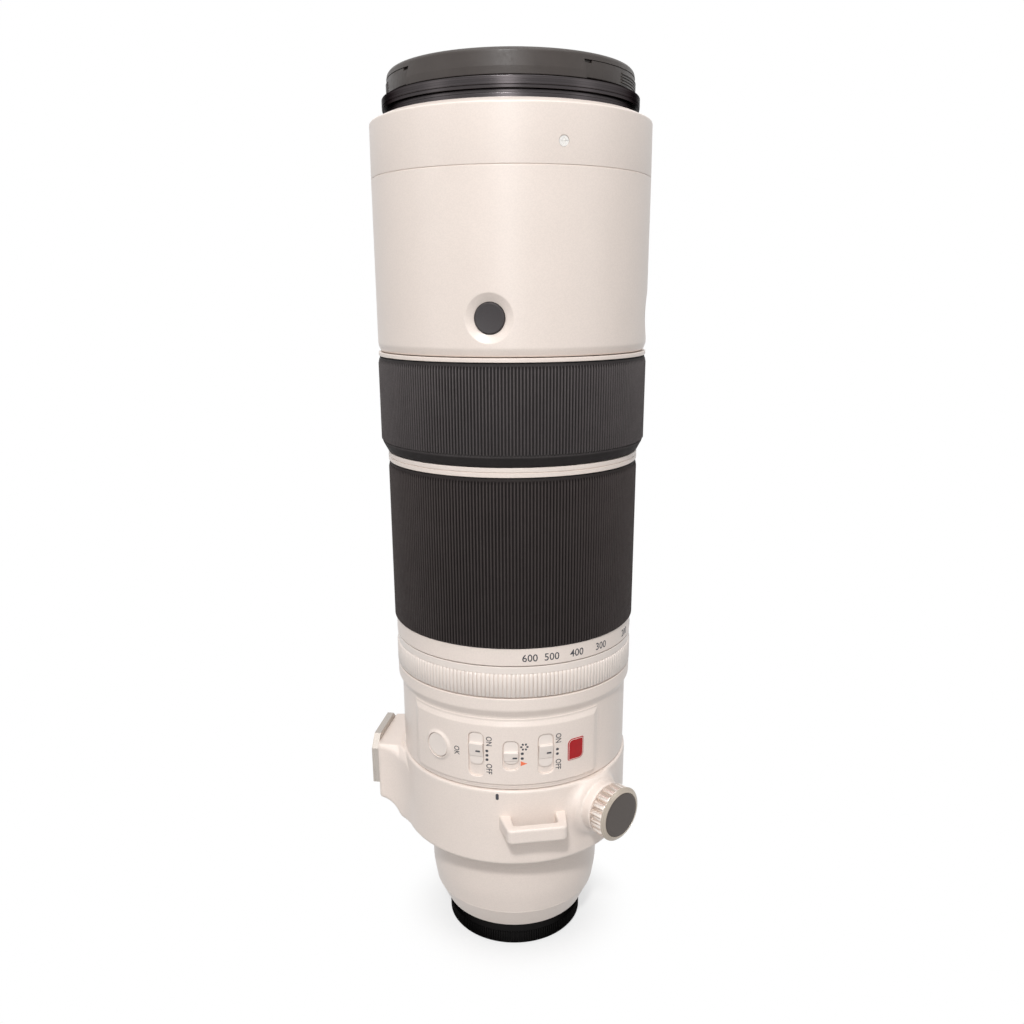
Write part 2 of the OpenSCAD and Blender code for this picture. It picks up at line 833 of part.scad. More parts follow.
// Cell of the rear elements, from the mount to the neck's floor
module rear_lens_cell() {
    tail_r = shoulder_r - tail_short;
    seat_r = rear_glass_r + glass_gap;
    inner_r = inner_glass_r + glass_gap;
    seat_z = tail_z + rear_seat_rise;
    inner_z = rear_cell_top_z - inner_seat_drop;
    color(black)
        difference() {
            turned([[rear_glass_r - rear_lip, tail_z], [tail_r, tail_z],
                    [tail_r, tail_z + tail_h], [rear_cell_r, tail_z + rear_seat_top],
                    [rear_cell_r, rear_cell_flange_z],
                    [neck_in_r - seat_gap, rear_cell_flange_z],
                    [neck_in_r - seat_gap, rear_cell_top_z], [inner_r, rear_cell_top_z],
                    [inner_r, inner_z], [inner_glass_r - inner_lip, inner_z],
                    [inner_glass_r - inner_lip, tail_z + rear_neck_rise],
                    [seat_r, tail_z + rear_seat_top], [seat_r, seat_z],
                    [rear_glass_r - rear_lip, seat_z]]);
            for (t = rod_turns)
                at_turn(t)
                    translate([0, -rod_reach, rear_cell_top_z - rod_sink])
                        cylinder(h = rod_sink + over, r = rod_r + seat_gap);
        }
}

// The two rear elements
module rear_elements() {
    seat_z = tail_z + rear_seat_rise + seat_lift(rear_glass_r, rear_lip, rear_curve);
    inner_z = rear_cell_top_z - inner_seat_drop
              + seat_lift(inner_glass_r, inner_lip, inner_curve);
    element(rear_glass_r, seat_z, seat_z + rear_glass_t, rear_curve, rear_curve);
    element(inner_glass_r, inner_z, inner_z + inner_glass_t, inner_curve, inner_curve);
}

// Rear barrel: lower tube, neck for the collar, switch housing and top band
module rear_barrel() {
    tube_in = neck_tube_in_r;
    ledge_z = body_top_z - tube_flange_t;
    ledge_w = 1.4;
    ledge_r = body_in_r - ledge_w;
    ledge_t = 2;
    color(white)
        difference() {
            turned([[tube_in, rear_top_z], [neck_tube_r, rear_top_z],
                    [neck_tube_r, neck_floor_z], [neck_r, neck_floor_z], [neck_r, body_z],
                    [body_r, body_z], [body_r, cone_z], [top_r, top_band_z],
                    [top_r, body_top_z - edge], [top_r - edge, body_top_z],
                    [body_in_r, body_top_z], [body_in_r, ledge_z], [ledge_r, ledge_z],
                    [ledge_r, ledge_z - ledge_t], [body_in_r, ledge_z - 2 * ledge_t],
                    [body_in_r, body_z + shelf_t], [neck_in_r, body_z + shelf_t],
                    [neck_in_r, neck_floor_z + floor_t], [tube_in, neck_floor_z + floor_t]]);
            stem_slot(mode_turn, mode_mid_z, mode_slot - mode_slider);
            stem_slot(preset_turn, switch_mid_z, preset_slot - preset_slider);
            stem_slot(range_turn, switch_mid_z, range_slot - range_slider);
            radial_rod(set_turn, stem_in - over, body_r + over, switch_mid_z,
                       stem_r + part_gap);
        }
}

// Slot in the housing's wall for the stem of a switch
module stem_slot(turn, mid_z, run) {
    wide = 2 * (stem_r + part_gap);
    radial_block(turn, stem_in - over, body_r + over, mid_z, wide, run + wide,
                 stem_r + part_gap - seat_gap);
}

// Two slide rings seated on the neck, for the collar to turn on
module collar_slide_rings() {
    low = neck_floor_z + slide_ring_inset;
    high = collar_top_z - slide_ring_inset - slide_ring_h;
    color("#d8d4cc")
        for (z = [low, high])
            tube(collar_bore - run_gap, neck_r + seat_gap / 2, z, z + slide_ring_h);
}

// Ring on the lower tube that keeps the collar from dropping off
module collar_retainer() {
    top = collar_z - part_gap;
    color(silver)
        tube(retainer_r, neck_tube_r + seat_gap / 2, top - retainer_h, top);
}

// Curved panel with its step, slots, set button ring and rounded corners
module control_panel() {
    color(white)
        difference() {
            union() {
                panel_tier(0, body_r + seat_gap / 2, body_r + panel_border_t);
                panel_tier(panel_border, body_r + panel_border_t / 2, panel_r);
                radial_rod(set_turn, panel_r - set_ring_rise, panel_r + set_ring_rise,
                           switch_mid_z, set_r + slider_gap + set_ring_w);
            }
            radial_rod(set_turn, body_r - over, panel_r + set_ring_rise + over, switch_mid_z,
                       set_r + slider_gap);
            panel_slot(mode_turn, mode_mid_z, mode_slot);
            panel_slot(preset_turn, switch_mid_z, preset_slot);
            panel_slot(range_turn, switch_mid_z, range_slot);
        }
}

// One layer of the panel, drawn in from its edges
module panel_tier(inset, r_in, r_out) {
    inset_turn = inset / body_r * 180 / PI;
    a = panel_left + inset_turn;
    b = panel_right - inset_turn;
    low = panel_z + inset;
    high = panel_z + panel_h - inset;
    difference() {
        band(a, b, r_in, r_out, low, high);
        for (end = [[a, 1], [b, -1]], edge_z = [[low, 1], [high, -1]])
            corner_cut(end[0], end[1], edge_z[0], edge_z[1]);
    }
}

// Rounds one corner of the panel at a turn and a height, with an arc of short straight cuts
module corner_cut(turn, side, z, up) {
    c = panel_corner;
    r = c + edge;
    cuts = 6;
    arc = [for (i = [0 : cuts])
        let (a = 180 + 90 * i / cuts)
            [side * (c + r * cos(a)), up * (c + r * sin(a))]];
    at_turn(turn)
        translate([0, -body_r + over, z])
            rotate([90, 0, 0])
                linear_extrude(height = 3 * over)
                    polygon(concat(arc, [[side * c, -up * over], [-side * over, -up * over],
                                         [-side * over, up * c]]));
}

// Opening of a switch in the panel
module panel_slot(turn, mid_z, length) {
    radial_block(turn, body_r - over, panel_r + over, mid_z, slot_w, length, slot_corner);
}

// Badge plate on the panel, with two round and two sharp corners
module panel_badge() {
    color("#a8121c")
        intersection() {
            tube(panel_r + badge_t, panel_r + seat_gap / 2, panel_z, panel_z + panel_h);
            at_turn(badge_turn)
                translate([0, -panel_r + over, switch_mid_z])
                    rotate([90, 0, 0])
                        linear_extrude(height = over + 4 * badge_t)
                            badge_outline();
        }
}

// Outline of the badge: a rectangle whose opposite corners are round
module badge_outline() {
    c = 2;
    rounded(badge_w, badge_h, c);
    translate([badge_w / 2 - c, badge_h / 2 - c])
        square([c, c]);
    translate([-badge_w / 2, -badge_h / 2])
        square([c, c]);
}

// Set button: a disc in the panel with a stem through the housing
module set_button() {
    face = panel_r + set_rise;
    color(white) {
        radial_rod(set_turn, face - set_disc_t, face, switch_mid_z, set_r);
        radial_rod(set_turn, stem_in, face - set_disc_t / 2, switch_mid_z, stem_r);
    }
}

// A slider at the upper end of its slot, with a ridge and a stem
module slider(turn, slot_mid_z, slot, length) {
    mid_z = slot_mid_z + (slot - length) / 2 - slider_gap;
    face = panel_r + slider_rise;
    wide = slot_w - 2 * slider_gap;
    color(white) {
        radial_block(turn, slider_foot, face, mid_z, wide, length,
                     slot_corner - slider_gap);
        radial_block(turn, face - slider_rise, face + ridge_rise, mid_z + length / 8,
                     wide - slider_rise, length * ridge_share, slider_rise);
        radial_rod(turn, stem_in, slider_foot + slider_rise, slot_mid_z + stem_lift(slot, length),
                   stem_r);
    }
}

// Height of a stem over the middle of its slot, with the slider at the top
function stem_lift(slot, length) = (slot - length) / 2 - slider_gap;

// Focus mode selector, three positions
module focus_mode_switch() {
    slider(mode_turn, mode_mid_z, mode_slot, mode_slider);
}

// Preset selector, two positions
module preset_switch() {
    slider(preset_turn, switch_mid_z, preset_slot, preset_slider);
}

// Focus range selector, two positions
module range_switch() {
    slider(range_turn, switch_mid_z, range_slot, range_slider);
}

// Tripod collar: ring, lower lip, arm with the foot block, and knob boss
module tripod_collar() {
    rim = collar_rim;
    inner = collar_bore - over;
    color(white)
        difference() {
            union() {
                turned([[inner, collar_z], [collar_r - rim, collar_z],
                        [collar_r, collar_z + rim], [collar_r, collar_top_z - rim],
                        [collar_r - rim, collar_top_z], [inner, collar_top_z]]);
                tube(collar_bore, lip_bore, collar_z, collar_z + collar_lip_t);
                foot_arm();
                radial_rod(lock_turn, collar_bore, boss_reach - rim, knob_z, boss_r);
                radial_cone(lock_turn, boss_reach - rim, boss_reach, knob_z, boss_r,
                            boss_r - rim);
            }
            translate([0, 0, collar_z + collar_lip_t])
                cylinder(h = collar_h + foot_h, r = collar_bore);
            radial_rod(lock_turn, neck_r, boss_reach + over, knob_z, screw_r + run_gap);
            radial_rod(lock_turn, neck_r, pad_in + pad_t + pad_room, knob_z, pad_r + run_gap);
            radial_rod(foot_turn, foot_reach - socket_depth + plate_t - part_gap,
                       foot_reach + over, plate_mid_z, bush_r + seat_gap);
            for (x = [-1, 1])
                at_turn(foot_turn)
                    translate([x * foot_screw_x, over - foot_reach + foot_screw_sink,
                               plate_mid_z])
                        rotate([90, 0, 0])
                            cylinder(h = foot_screw_sink + 2 * over,
                                     r = foot_screw_r + seat_gap);
        }
}

// Arm and block of the foot, with concave flares into the collar
module foot_arm() {
    half = foot_w / 2;
    deep = collar_bore - 2 * arm_slope;
    flare_x = half + flare_r;
    flare_reach = collar_r + flare_r - flare_sink;
    flare_y = sqrt(flare_reach * flare_reach - flare_x * flare_x);
    flare_turn = atan2(flare_y, flare_x);
    right = [for (i = [0 : flare_steps])
        let (a = 180 - flare_turn * i / flare_steps)
            [flare_x + flare_r * cos(a), flare_r * sin(a) - flare_y]];
    left = [for (i = [flare_steps : -1 : 0]) [-right[i][0], right[i][1]]];
    at_turn(foot_turn)
        difference() {
            intersection() {
                translate([0, 0, collar_z])
                    linear_extrude(height = foot_top_z - collar_z)
                        polygon(concat([[-half, -foot_reach], [half, -foot_reach]], right,
                                       [[half, -deep], [-half, -deep]], left));
                rotate([90, 0, 90])
                    linear_extrude(height = 2 * flare_x, center = true)
                        arm_side(deep - over);
            }
            for (x = [-1, 1])
                translate([x * half, -foot_reach - over, foot_top_z])
                    rotate([-90, 0, 0])
                        linear_extrude(height = foot_reach - collar_r)
                            circle(r = foot_chamfer, $fn = 4);
        }
}

// Side outline of the arm in reach (negative is outwards) and height
module arm_side(deep) {
    high = collar_top_z - collar_rim;
    difference() {
        polygon([[-deep, collar_z], [-deep, high], [-collar_r - edge, high],
                 [-collar_r - arm_slope, foot_top_z], [-foot_reach - over, foot_top_z],
                 [-foot_reach - over, collar_z]]);
        translate([-foot_reach - arm_arc_out, foot_z - arm_arc_r])
            circle(r = arm_arc_r);
    }
}

// Metal plate of the foot with the tripod socket's bush
module foot_plate() {
    w = plate_w / 2;
    h = plate_h / 2;
    c = plate_chamfer;
    color(silver)
        at_turn(foot_turn)
            translate([0, -foot_reach, plate_mid_z])
                rotate([90, 0, 0])
                    difference() {
                        union() {
                            linear_extrude(height = plate_t)
                                polygon([[-w, -h], [w, -h], [w, h - c], [w - c, h],
                                         [c - w, h], [-w, h - c]]);
                            translate([0, 0, plate_t - socket_depth])
                                cylinder(h = socket_depth - plate_t / 2, r = bush_r);
                        }
                        translate([0, 0, plate_t - socket_depth - over])
                            cylinder(h = socket_depth + 2 * over, r = socket_r);
                        for (x = [-1, 1])
                            translate([x * foot_screw_x, 0, -over]) {
                                cylinder(h = plate_t + 2 * over, r = foot_screw_r + seat_gap);
                                translate([0, 0, over + plate_t - foot_head_h])
                                    cylinder(h = foot_head_h + over, r = foot_head_r + seat_gap);
                            }
                    }
}

// Two screws that hold the foot plate
module foot_screws() {
    tip = foot_screw_sink - over / 2;
    color(silver)
        at_turn(foot_turn)
            for (x = [-1, 1])
                translate([x * foot_screw_x, -foot_reach, plate_mid_z])
                    rotate([90, 0, 0]) {
                        translate([0, 0, -tip])
                            cylinder(h = tip + plate_t - foot_head_h / 2, r = foot_screw_r);
                        translate([0, 0, plate_t - foot_head_h + seat_gap])
                            cylinder(h = foot_head_h - 2 * seat_gap, r = foot_head_r);
                    }
}

// Strap lugs on both sides of the collar
module strap_lugs() {
    color(white)
        for (turn = [lug_turn, lug_far_turn])
            strap_lug(turn);
}

// Distance of a lug's base from the axis, under the collar's surface
function lug_base() = sqrt(collar_r * collar_r - lug_root_w * lug_root_w / 4) - lug_round;

// One lug: two posts and a bar, cut to the collar's surface
module strap_lug(turn) {
    w = lug_w / 2;
    root = lug_root_w / 2;
    bar_in = lug_face - lug_bar;
    c = lug_round;
    difference() {
        at_turn(turn)
            translate([0, 0, lug_z])
                linear_extrude(height = lug_h)
                    difference() {
                        polygon([[-root, -lug_base()], [root, -lug_base()],
                                 [w, -lug_face + c], [w - c, -lug_face],
                                 [c - w, -lug_face], [-w, -lug_face + c]]);
                        polygon([[lug_post - w, over - lug_base()],
                                 [w - lug_post, over - lug_base()],
                                 [w - lug_post, -bar_in + c], [w - lug_post - c, -bar_in],
                                 [c + lug_post - w, -bar_in], [lug_post - w, -bar_in + c]]);
                    }
        translate([0, 0, lug_z - over])
            cylinder(h = lug_h + 2 * over, r = collar_r + seat_gap / 2);
    }
}

// Pad that the clamp screw presses on the neck
module brake_pad() {
    color("#4a4038")
        radial_rod(lock_turn, pad_in, pad_in + pad_t, knob_z, pad_r);
}

// Fluted knob with its clamp screw
module lock_knob() {
    grip = knob_len - rim_t;
    tip = pad_in + pad_t + seat_gap - knob_base;
    c = 2 * edge;
    color(silver)
        at_turn(lock_turn)
            translate([0, -knob_base, knob_z])
                rotate([90, 0, 0])
                    difference() {
                        turned([[0, tip], [screw_r, tip], [screw_r, 0], [knob_r - c, 0],
                                [knob_r, c], [knob_r, grip], [rim_r, grip + c],
                                [rim_r, grip + 2 * c], [face_r + c, knob_len],
                                [face_r + seat_gap, knob_len],
                                [face_r + seat_gap, knob_len - face_recess],
                                [0, knob_len - face_recess]]);
                        for (i = [0 : flute_count - 1])
                            rotate([0, 0, 360 / flute_count * i])
                                translate([knob_r + flute_r / 3, 0, -over])
                                    cylinder(h = grip + over - edge, r = flute_r);
                    }
}

// Dark disc in the knob's face
module knob_face() {
    color(dark_metal)
        radial_rod(lock_turn, knob_reach - face_recess + seat_gap,
                   knob_reach - 2 * seat_gap, knob_z, face_r);
}

// Aperture ring: a grip band below and a plain band above a groove
module aperture_ring() {
    grip_h = 9.2;
    groove = 0.5;
    in_r = tube_r + run_gap;
    z = aperture_z + grip_h;
    color(white)
        turned([[in_r, aperture_z], [aperture_r - edge, aperture_z],
                [aperture_r, aperture_z + edge], [aperture_r, z],
                [aperture_r - groove, z + edge], [aperture_r - groove, z + 2 * edge],
                [aperture_r - edge, z + 3 * edge], [aperture_r - edge, aperture_top_z],
                [in_r, aperture_top_z]]);
}

// Fixed tube that carries the rings, with slots for the zoom keys
module main_tube() {
    flange_out = body_in_r - seat_gap;
    slot_h = 2 * (key_r + part_gap);
    slot_ease = 7;
    color(black)
        difference() {
            turned([[tube_in_r, body_top_z - tube_flange_t],
                    [flange_out, body_top_z - tube_flange_t], [flange_out, body_top_z],
                    [tube_r, body_top_z], [tube_r, tube_top_z], [tube_in_r, tube_top_z]]);
            for (t = key_turns)
                band(t - slot_ease, t + zoom_turn + slot_ease, tube_in_r - over, tube_r + over,
                     key_z - slot_h / 2, key_z + slot_h / 2);
        }
}

// Guide tube with three straight slots and a rear flange
module guide_tube() {
    slot_w_in = 2 * (follower_r + follower_gap);
    slot_len = zoom_travel + slot_w_in + 2 * follower_r;
    flange_lip = 2.5;
    flange_in = rod_reach - flange_lip;
    color(black)
        difference() {
            turned([[flange_in, guide_z], [tube_in_r - seat_gap, guide_z],
                    [tube_in_r - seat_gap, unit_z], [guide_r, unit_z],
                    [guide_r, guide_top_z], [guide_in_r, guide_top_z],
                    [guide_in_r, unit_z], [flange_in, unit_z]]);
            for (t = follower_turns)
                radial_block(t, guide_in_r - over, guide_r + over,
                             follower_z - zoom_travel / 2, slot_w_in, slot_len,
                             follower_r);
            for (t = rod_turns)
                at_turn(t)
                    translate([0, -rod_reach, guide_z - over])
                        cylinder(h = rod_sink + over, r = rod_r + seat_gap);
        }
}

// Cam barrel: three helical cams, with the two keys of the zoom ring
module cam_barrel() {
    cam_len = zoom_travel + 2 * cam_run_out;
    cam_sweep = zoom_turn * cam_len / zoom_travel;
    cam_start = -zoom_turn - zoom_turn / zoom_travel * cam_run_out;
    slices = 24;
    color(silver) {
        difference() {
            tube(cam_r, cam_in_r, cam_z, cam_top_z);
            for (t = follower_turns)
                translate([0, 0, follower_z - zoom_travel - cam_run_out])
                    rotate([0, 0, t + cam_start - 90])
                        linear_extrude(height = cam_len, twist = -cam_sweep, slices = slices,
                                       $fn = 4)
                            cam_outline(cam_in_r - over, cam_r + over);
        }
        for (t = key_turns)
            radial_rod(t, cam_in_r + key_sink, tube_r + key_reach, key_z, key_r);
    }
}

// Cross-section of a cam: a slice of a ring about the x axis
module cam_outline(r_in, r_out) {
    a = cam_arc / 2;
    polygon([[r_in * cos(a), -r_in * sin(a)], [r_out * cos(a), -r_out * sin(a)],
             [r_out * cos(a), r_out * sin(a)], [r_in * cos(a), r_in * sin(a)]]);
}

// Zoom ring: scale band below, sleeve under the grip, holes for the keys
module zoom_ring() {
    core_r = zoom_grip_r - grip_t;
    in_r = tube_r + run_gap;
    color(white)
        difference() {
            turned([[in_r, zoom_z], [scale_r - edge, zoom_z], [scale_r, zoom_z + edge],
                    [scale_r, zoom_grip_z], [core_r, zoom_grip_z], [core_r, zoom_top_z],
                    [in_r, zoom_top_z]]);
            for (t = key_turns)
                radial_rod(t, tube_r, core_r + over, key_z, key_r + seat_gap);
        }
}

// Rubber grip of the zoom ring
module zoom_grip() {
    grip(zoom_grip_r, zoom_grip_z + seat_gap, zoom_top_z);
}

// A rubber sleeve with small chamfers at both ends
module grip(r, z0, z1) {
    in_r = r - grip_t + seat_gap;
    c = 0.6;
    color(rubber)
        turned([[in_r, z0], [r - c, z0], [r, z0 + c], [r, z1 - c], [r - c, z1], [in_r, z1]]);
}

// Cell of the zoom group with its three followers
module zoom_cell() {
    r = guide_in_r - run_gap;
    seat_r = zoom_glass_r + glass_gap;
    seat_z = zoom_cell_z + zoom_seat_rise;
    color(black) {
        turned([[zoom_glass_r - zoom_lip, zoom_cell_z], [r, zoom_cell_z],
                [r, zoom_cell_z + zoom_cell_h], [seat_r, zoom_cell_z + zoom_cell_h],
                [seat_r, seat_z], [zoom_glass_r - zoom_lip, seat_z]]);
        for (t = follower_turns)
            radial_rod(t, r - follower_sink, cam_r - follower_short, follower_z, follower_r);
    }
}

// Element of the zoom group
module zoom_lens() {
    seat_z = zoom_cell_z + zoom_seat_rise + seat_lift(zoom_glass_r, zoom_lip, zoom_curve);
    element(zoom_glass_r, seat_z, seat_z + zoom_glass_t, zoom_curve, zoom_curve);
}

// Two rods that the focus group slides on
module focus_rods() {
    color(silver)
        for (t = rod_turns)
            at_turn(t)
                translate([0, -rod_reach, rear_cell_top_z - rod_sink])
                    cylinder(h = guide_z - rear_cell_top_z + 2 * rod_sink - seat_gap,
                             r = rod_r);
}

// Linear motor of the focus group, standing on the rear cell's flange
module focus_motor() {
    out = neck_in_r - motor_clear;
    color(dark_metal)
        radial_block(motor_turn, motor_in, out, rear_cell_top_z + motor_h / 2, motor_w,
                     motor_h, motor_round);
}

// Cell of the focus group with two sleeves and the motor's coil arm
module focus_cell() {
    mid = focus_cell_z + focus_cell_h / 2;
    seat_r = focus_glass_r + glass_gap;
    seat_z = focus_cell_z + focus_seat_rise;
    color(black)
        difference() {
            union() {
                turned([[focus_glass_r - focus_lip, focus_cell_z],
                        [focus_cell_r, focus_cell_z],
                        [focus_cell_r, focus_cell_z + focus_cell_h],
                        [seat_r, focus_cell_z + focus_cell_h],
                        [seat_r, seat_z], [focus_glass_r - focus_lip, seat_z]]);
                for (t = rod_turns) {
                    at_turn(t)
                        translate([0, -rod_reach, focus_cell_z])
                            cylinder(h = focus_cell_h, r = sleeve_r);
                    radial_block(t, focus_cell_r - bridge_round, rod_reach, mid, bridge_w,
                                 focus_cell_h - bridge_short, bridge_round);
                }
                radial_block(motor_turn, focus_cell_r - bridge_round, motor_in - part_gap, mid,
                             coil_w, coil_w, bridge_round);
            }
            for (t = rod_turns)
                at_turn(t)
                    translate([0, -rod_reach, focus_cell_z - over])
                        cylinder(h = focus_cell_h + 2 * over, r = rod_r + run_gap);
        }
}

// Element of the focus group
module focus_lens() {
    seat_z = focus_cell_z + focus_seat_rise
             + seat_lift(focus_glass_r, focus_lip, focus_curve);
    element(focus_glass_r, seat_z, seat_z + focus_glass_t, focus_curve, focus_curve);
}

// Fixed frame of the stabiliser with two lugs for the guide
module stabiliser_base() {
    top = unit_z + base_t;
    color(black) {
        tube(base_r, stabiliser_glass_r + shake_wall, unit_z, top);
        difference() {
            for (x = [frame_lug_a, frame_lug_b])
                translate([x - frame_lug_w / 2, shake_rod_y - frame_lug_d / 2, top - seat_gap])
                    cube([frame_lug_w, frame_lug_d, rod_z + frame_lug_over - top]);
            translate([frame_lug_a - frame_lug_w, shake_rod_y, rod_z])
                rotate([0, 90, 0])
                    cylinder(h = frame_lug_b - frame_lug_a + 2 * frame_lug_w,
                             r = shake_rod_r + run_gap);
        }
    }
}

// L-shaped guide of the stabiliser: one rod in each direction
module stabiliser_guide() {
    color(silver) {
        translate([-shake_rod_tail, shake_rod_y, rod_z])
            rotate([0, 90, 0])
                cylinder(h = shake_rod_x + shake_rod_tail, r = shake_rod_r);
        translate([shake_rod_x, shake_rod_y, rod_z])
            rotate([90, 0, 0])
                cylinder(h = shake_rod_y + shake_rod_tail, r = shake_rod_r);
        translate([shake_rod_x, shake_rod_y, rod_z])
            sphere(r = shake_rod_r + shake_knuckle);
    }
}

// Moving cell of the stabiliser with two lugs on the guide's second rod
module stabiliser_cell() {
    r = stabiliser_glass_r + shake_wall;
    seat_r = stabiliser_glass_r + glass_gap;
    seat_z = shake_z + shake_lip;
    root_x = r - shake_lip;
    color(black)
        difference() {
            union() {
                turned([[stabiliser_glass_r - shake_lip, shake_z], [r, shake_z],
                        [r, shake_z + shake_cell_h], [seat_r, shake_z + shake_cell_h],
                        [seat_r, seat_z], [stabiliser_glass_r - shake_lip, seat_z]]);
                for (y = [-cell_lug_y, cell_lug_y])
                    translate([root_x, y - cell_lug_w / 2, rod_z - cell_lug_h / 2])
                        cube([shake_rod_x + cell_lug_over - root_x, cell_lug_w, cell_lug_h]);
            }
            translate([shake_rod_x, cell_lug_y + cell_lug_w, rod_z])
                rotate([90, 0, 0])
                    cylinder(h = 2 * (cell_lug_y + cell_lug_w), r = shake_rod_r + run_gap);
        }
}

// Element of the stabiliser
module stabiliser_lens() {
    seat_z = shake_z + shake_lip + seat_lift(stabiliser_glass_r, shake_lip, shake_curve);
    element(stabiliser_glass_r, seat_z, seat_z + shake_glass_t, shake_curve, shake_curve);
}

// Iris housing: a cup with a round opening
module iris_housing() {
    r = guide_in_r - seat_gap;
    in_r = r - iris_wall;
    color(black)
        turned([[iris_bore, iris_z], [r, iris_z], [r, iris_z + iris_h],
                [in_r, iris_z + iris_h], [in_r, iris_z + iris_floor_t],
                [iris_bore, iris_z + iris_floor_t]]);
}

// Nine iris blades, wide open, each at its own level on its own pin
module iris_blades() {
    floor_z = iris_z + iris_floor_t;
    tab_arc = 8;
    color(dark_metal)
        for (i = [0 : blade_count - 1]) {
            z = floor_z + blade_clear + blade_pitch * i;
            t = 360 / blade_count * i;
            band(t, t + blade_arc, blade_in_r, blade_in_r + blade_w, z, z + blade_t);
            band(t, t + tab_arc, blade_in_r + blade_w / 2, blade_pin_reach + blade_tab, z,
                 z + blade_t);
            at_turn(t + tab_arc / 2)
                translate([0, -blade_pin_reach, floor_z])
                    cylinder(h = z + blade_t - floor_z, r = blade_pin_r);
        }
}

// White ring with a groove between the zoom and focus rings
module middle_trim_ring() {
    r = zoom_grip_r - 2 * seat_gap;
    in_r = tube_r + seat_gap;
    groove_share = 0.55;
    groove_z = middle_trim_z + middle_trim_h * groove_share;
    color(white)
        turned([[in_r, middle_trim_z], [r, middle_trim_z], [r, groove_z],
                [r - edge, groove_z + edge / 2], [r, groove_z + edge],
                [r, middle_trim_top_z], [in_r, middle_trim_top_z]]);
}

// Focus ring with the tapered lip below its grip
module focus_ring() {
    core_r = focus_grip_r - grip_t;
    in_r = tube_r + run_gap;
    color(black)
        turned([[in_r, focus_z], [zoom_grip_r, focus_z],
                [focus_grip_r - edge, focus_grip_z - edge], [focus_grip_r - edge, focus_grip_z],
                [core_r, focus_grip_z], [core_r, focus_top_z], [in_r, focus_top_z]]);
}

// Rubber grip of the focus ring
module focus_grip() {
    grip(focus_grip_r, focus_grip_z + seat_gap, focus_top_z);
}

// Thin white ring between the focus ring and the front barrel
module front_trim_ring() {
    color(white)
        tube(front_r, tube_r + seat_gap, front_trim_z, front_trim_top_z);
}

// Front barrel: shell, inner flange on the fixed tube, four button dishes
module front_barrel() {
    in_r = barrel_in_r;
    low_bevel = 1;
    low_bevel_h = 2.6;
    dish_deep = 1.6;
    dish_over = 0.2;
    hole_r = hold_r + hold_gap;
    color(white)
        difference() {
            turned([[tube_r + seat_gap, front_z], [front_r - low_bevel, front_z],
                    [front_r, front_z + low_bevel_h], [front_r, front_top_z - edge],
                    [front_r - edge, front_top_z], [in_r, front_top_z],
                    [in_r, tube_top_z], [tube_r + seat_gap, tube_top_z]]);
            for (t = [side_turn, top_turn, back_turn, foot_turn]) {
                radial_rod(t, in_r - 2 * over, front_r + over, hold_z, hole_r);
                radial_cone(t, front_r - dish_deep, front_r + dish_over, hold_z, hole_r,
                            dish_r + dish_over);
            }
        }
}

// A focus hold button: a disc in the barrel's wall and a flange behind it
module hold_button(turn) {
    flange_out = barrel_in_r - hold_flange_gap;
    face = front_r - hold_sink;
    color(rubber) {
        radial_rod(turn, flange_out - hold_flange_t, flange_out, hold_z,
                   hold_r + hold_flange);
        radial_rod(turn, flange_out - hold_flange_t / 2, face, hold_z, hold_r);
    }
}

// Button on the switch side
module hold_button_side() {
    hold_button(side_turn);
}

// Button on the top
module hold_button_top() {
    hold_button(top_turn);
}

// Button on the far side
module hold_button_back() {
    hold_button(back_turn);
}

// Button on the foot's side
module hold_button_foot() {
    hold_button(foot_turn);
}

// Front ring with a spigot in the barrel and a bevel at its top
module front_ring() {
    in_r = hood_r + spigot_gap;
    spigot_r = barrel_in_r - seat_gap;
    spigot_z = front_top_z - spigot_h;
    color(white)
        difference() {
            turned([[in_r, spigot_z], [spigot_r, spigot_z], [spigot_r, front_top_z],
                    [front_r - edge, front_top_z], [front_r, front_top_z + edge],
                    [front_r - edge / 2, bevel_z], [in_r + edge, bevel_top_z],
                    [in_r, bevel_top_z]]);
            for (i = [0 : 2])
                radial_rod(screw_turn(i), front_r - ring_screw_deep, front_r + over,
                           ring_screw_z, ring_screw_r + seat_gap);
        }
}

// Turn of one of the front ring's screws
function screw_turn(i) = side_turn + 28 + 120 * i;

// Three small screws with a cross slot
module front_ring_screws() {
    screw_sink = 0.25;
    face = front_r - screw_sink;
    slot = 0.35;
    long = ring_screw_r * 1.3;
    color(silver)
        for (i = [0 : 2])
            difference() {
                radial_rod(screw_turn(i), front_r - ring_screw_deep + seat_gap, face,
                           ring_screw_z, ring_screw_r);
                for (w = [[long, slot], [slot, long]])
                    radial_block(screw_turn(i), face - slot, face + over, ring_screw_z,
                                 w[0], w[1], slot / 3);
            }
}

// Black ring with the filter thread inside and the hood bayonet outside
module filter_ring() {
    throat_r = filter_r - throat_inset;
    low_z = filter_z - throat_h;
    out_r = hood_r + spigot_gap / 2;
    neck = 1.6;
    color(black)
        turned([[throat_r, low_z], [out_r, low_z], [out_r, bevel_top_z],
                [hood_r - neck / 2, bevel_top_z + edge], [hood_r - neck / 2, hood_gap_z],
                [hood_r - neck, hood_gap_z], [hood_r - neck, hood_z - edge],
                [hood_r, hood_z], [hood_r, hood_top_z - edge], [hood_r - edge, hood_top_z],
                [mouth_r, hood_top_z], [mouth_r, filter_z + filter_len],
                [filter_r, filter_z + filter_len], [filter_r, filter_z],
                [throat_r, filter_z]]);
}

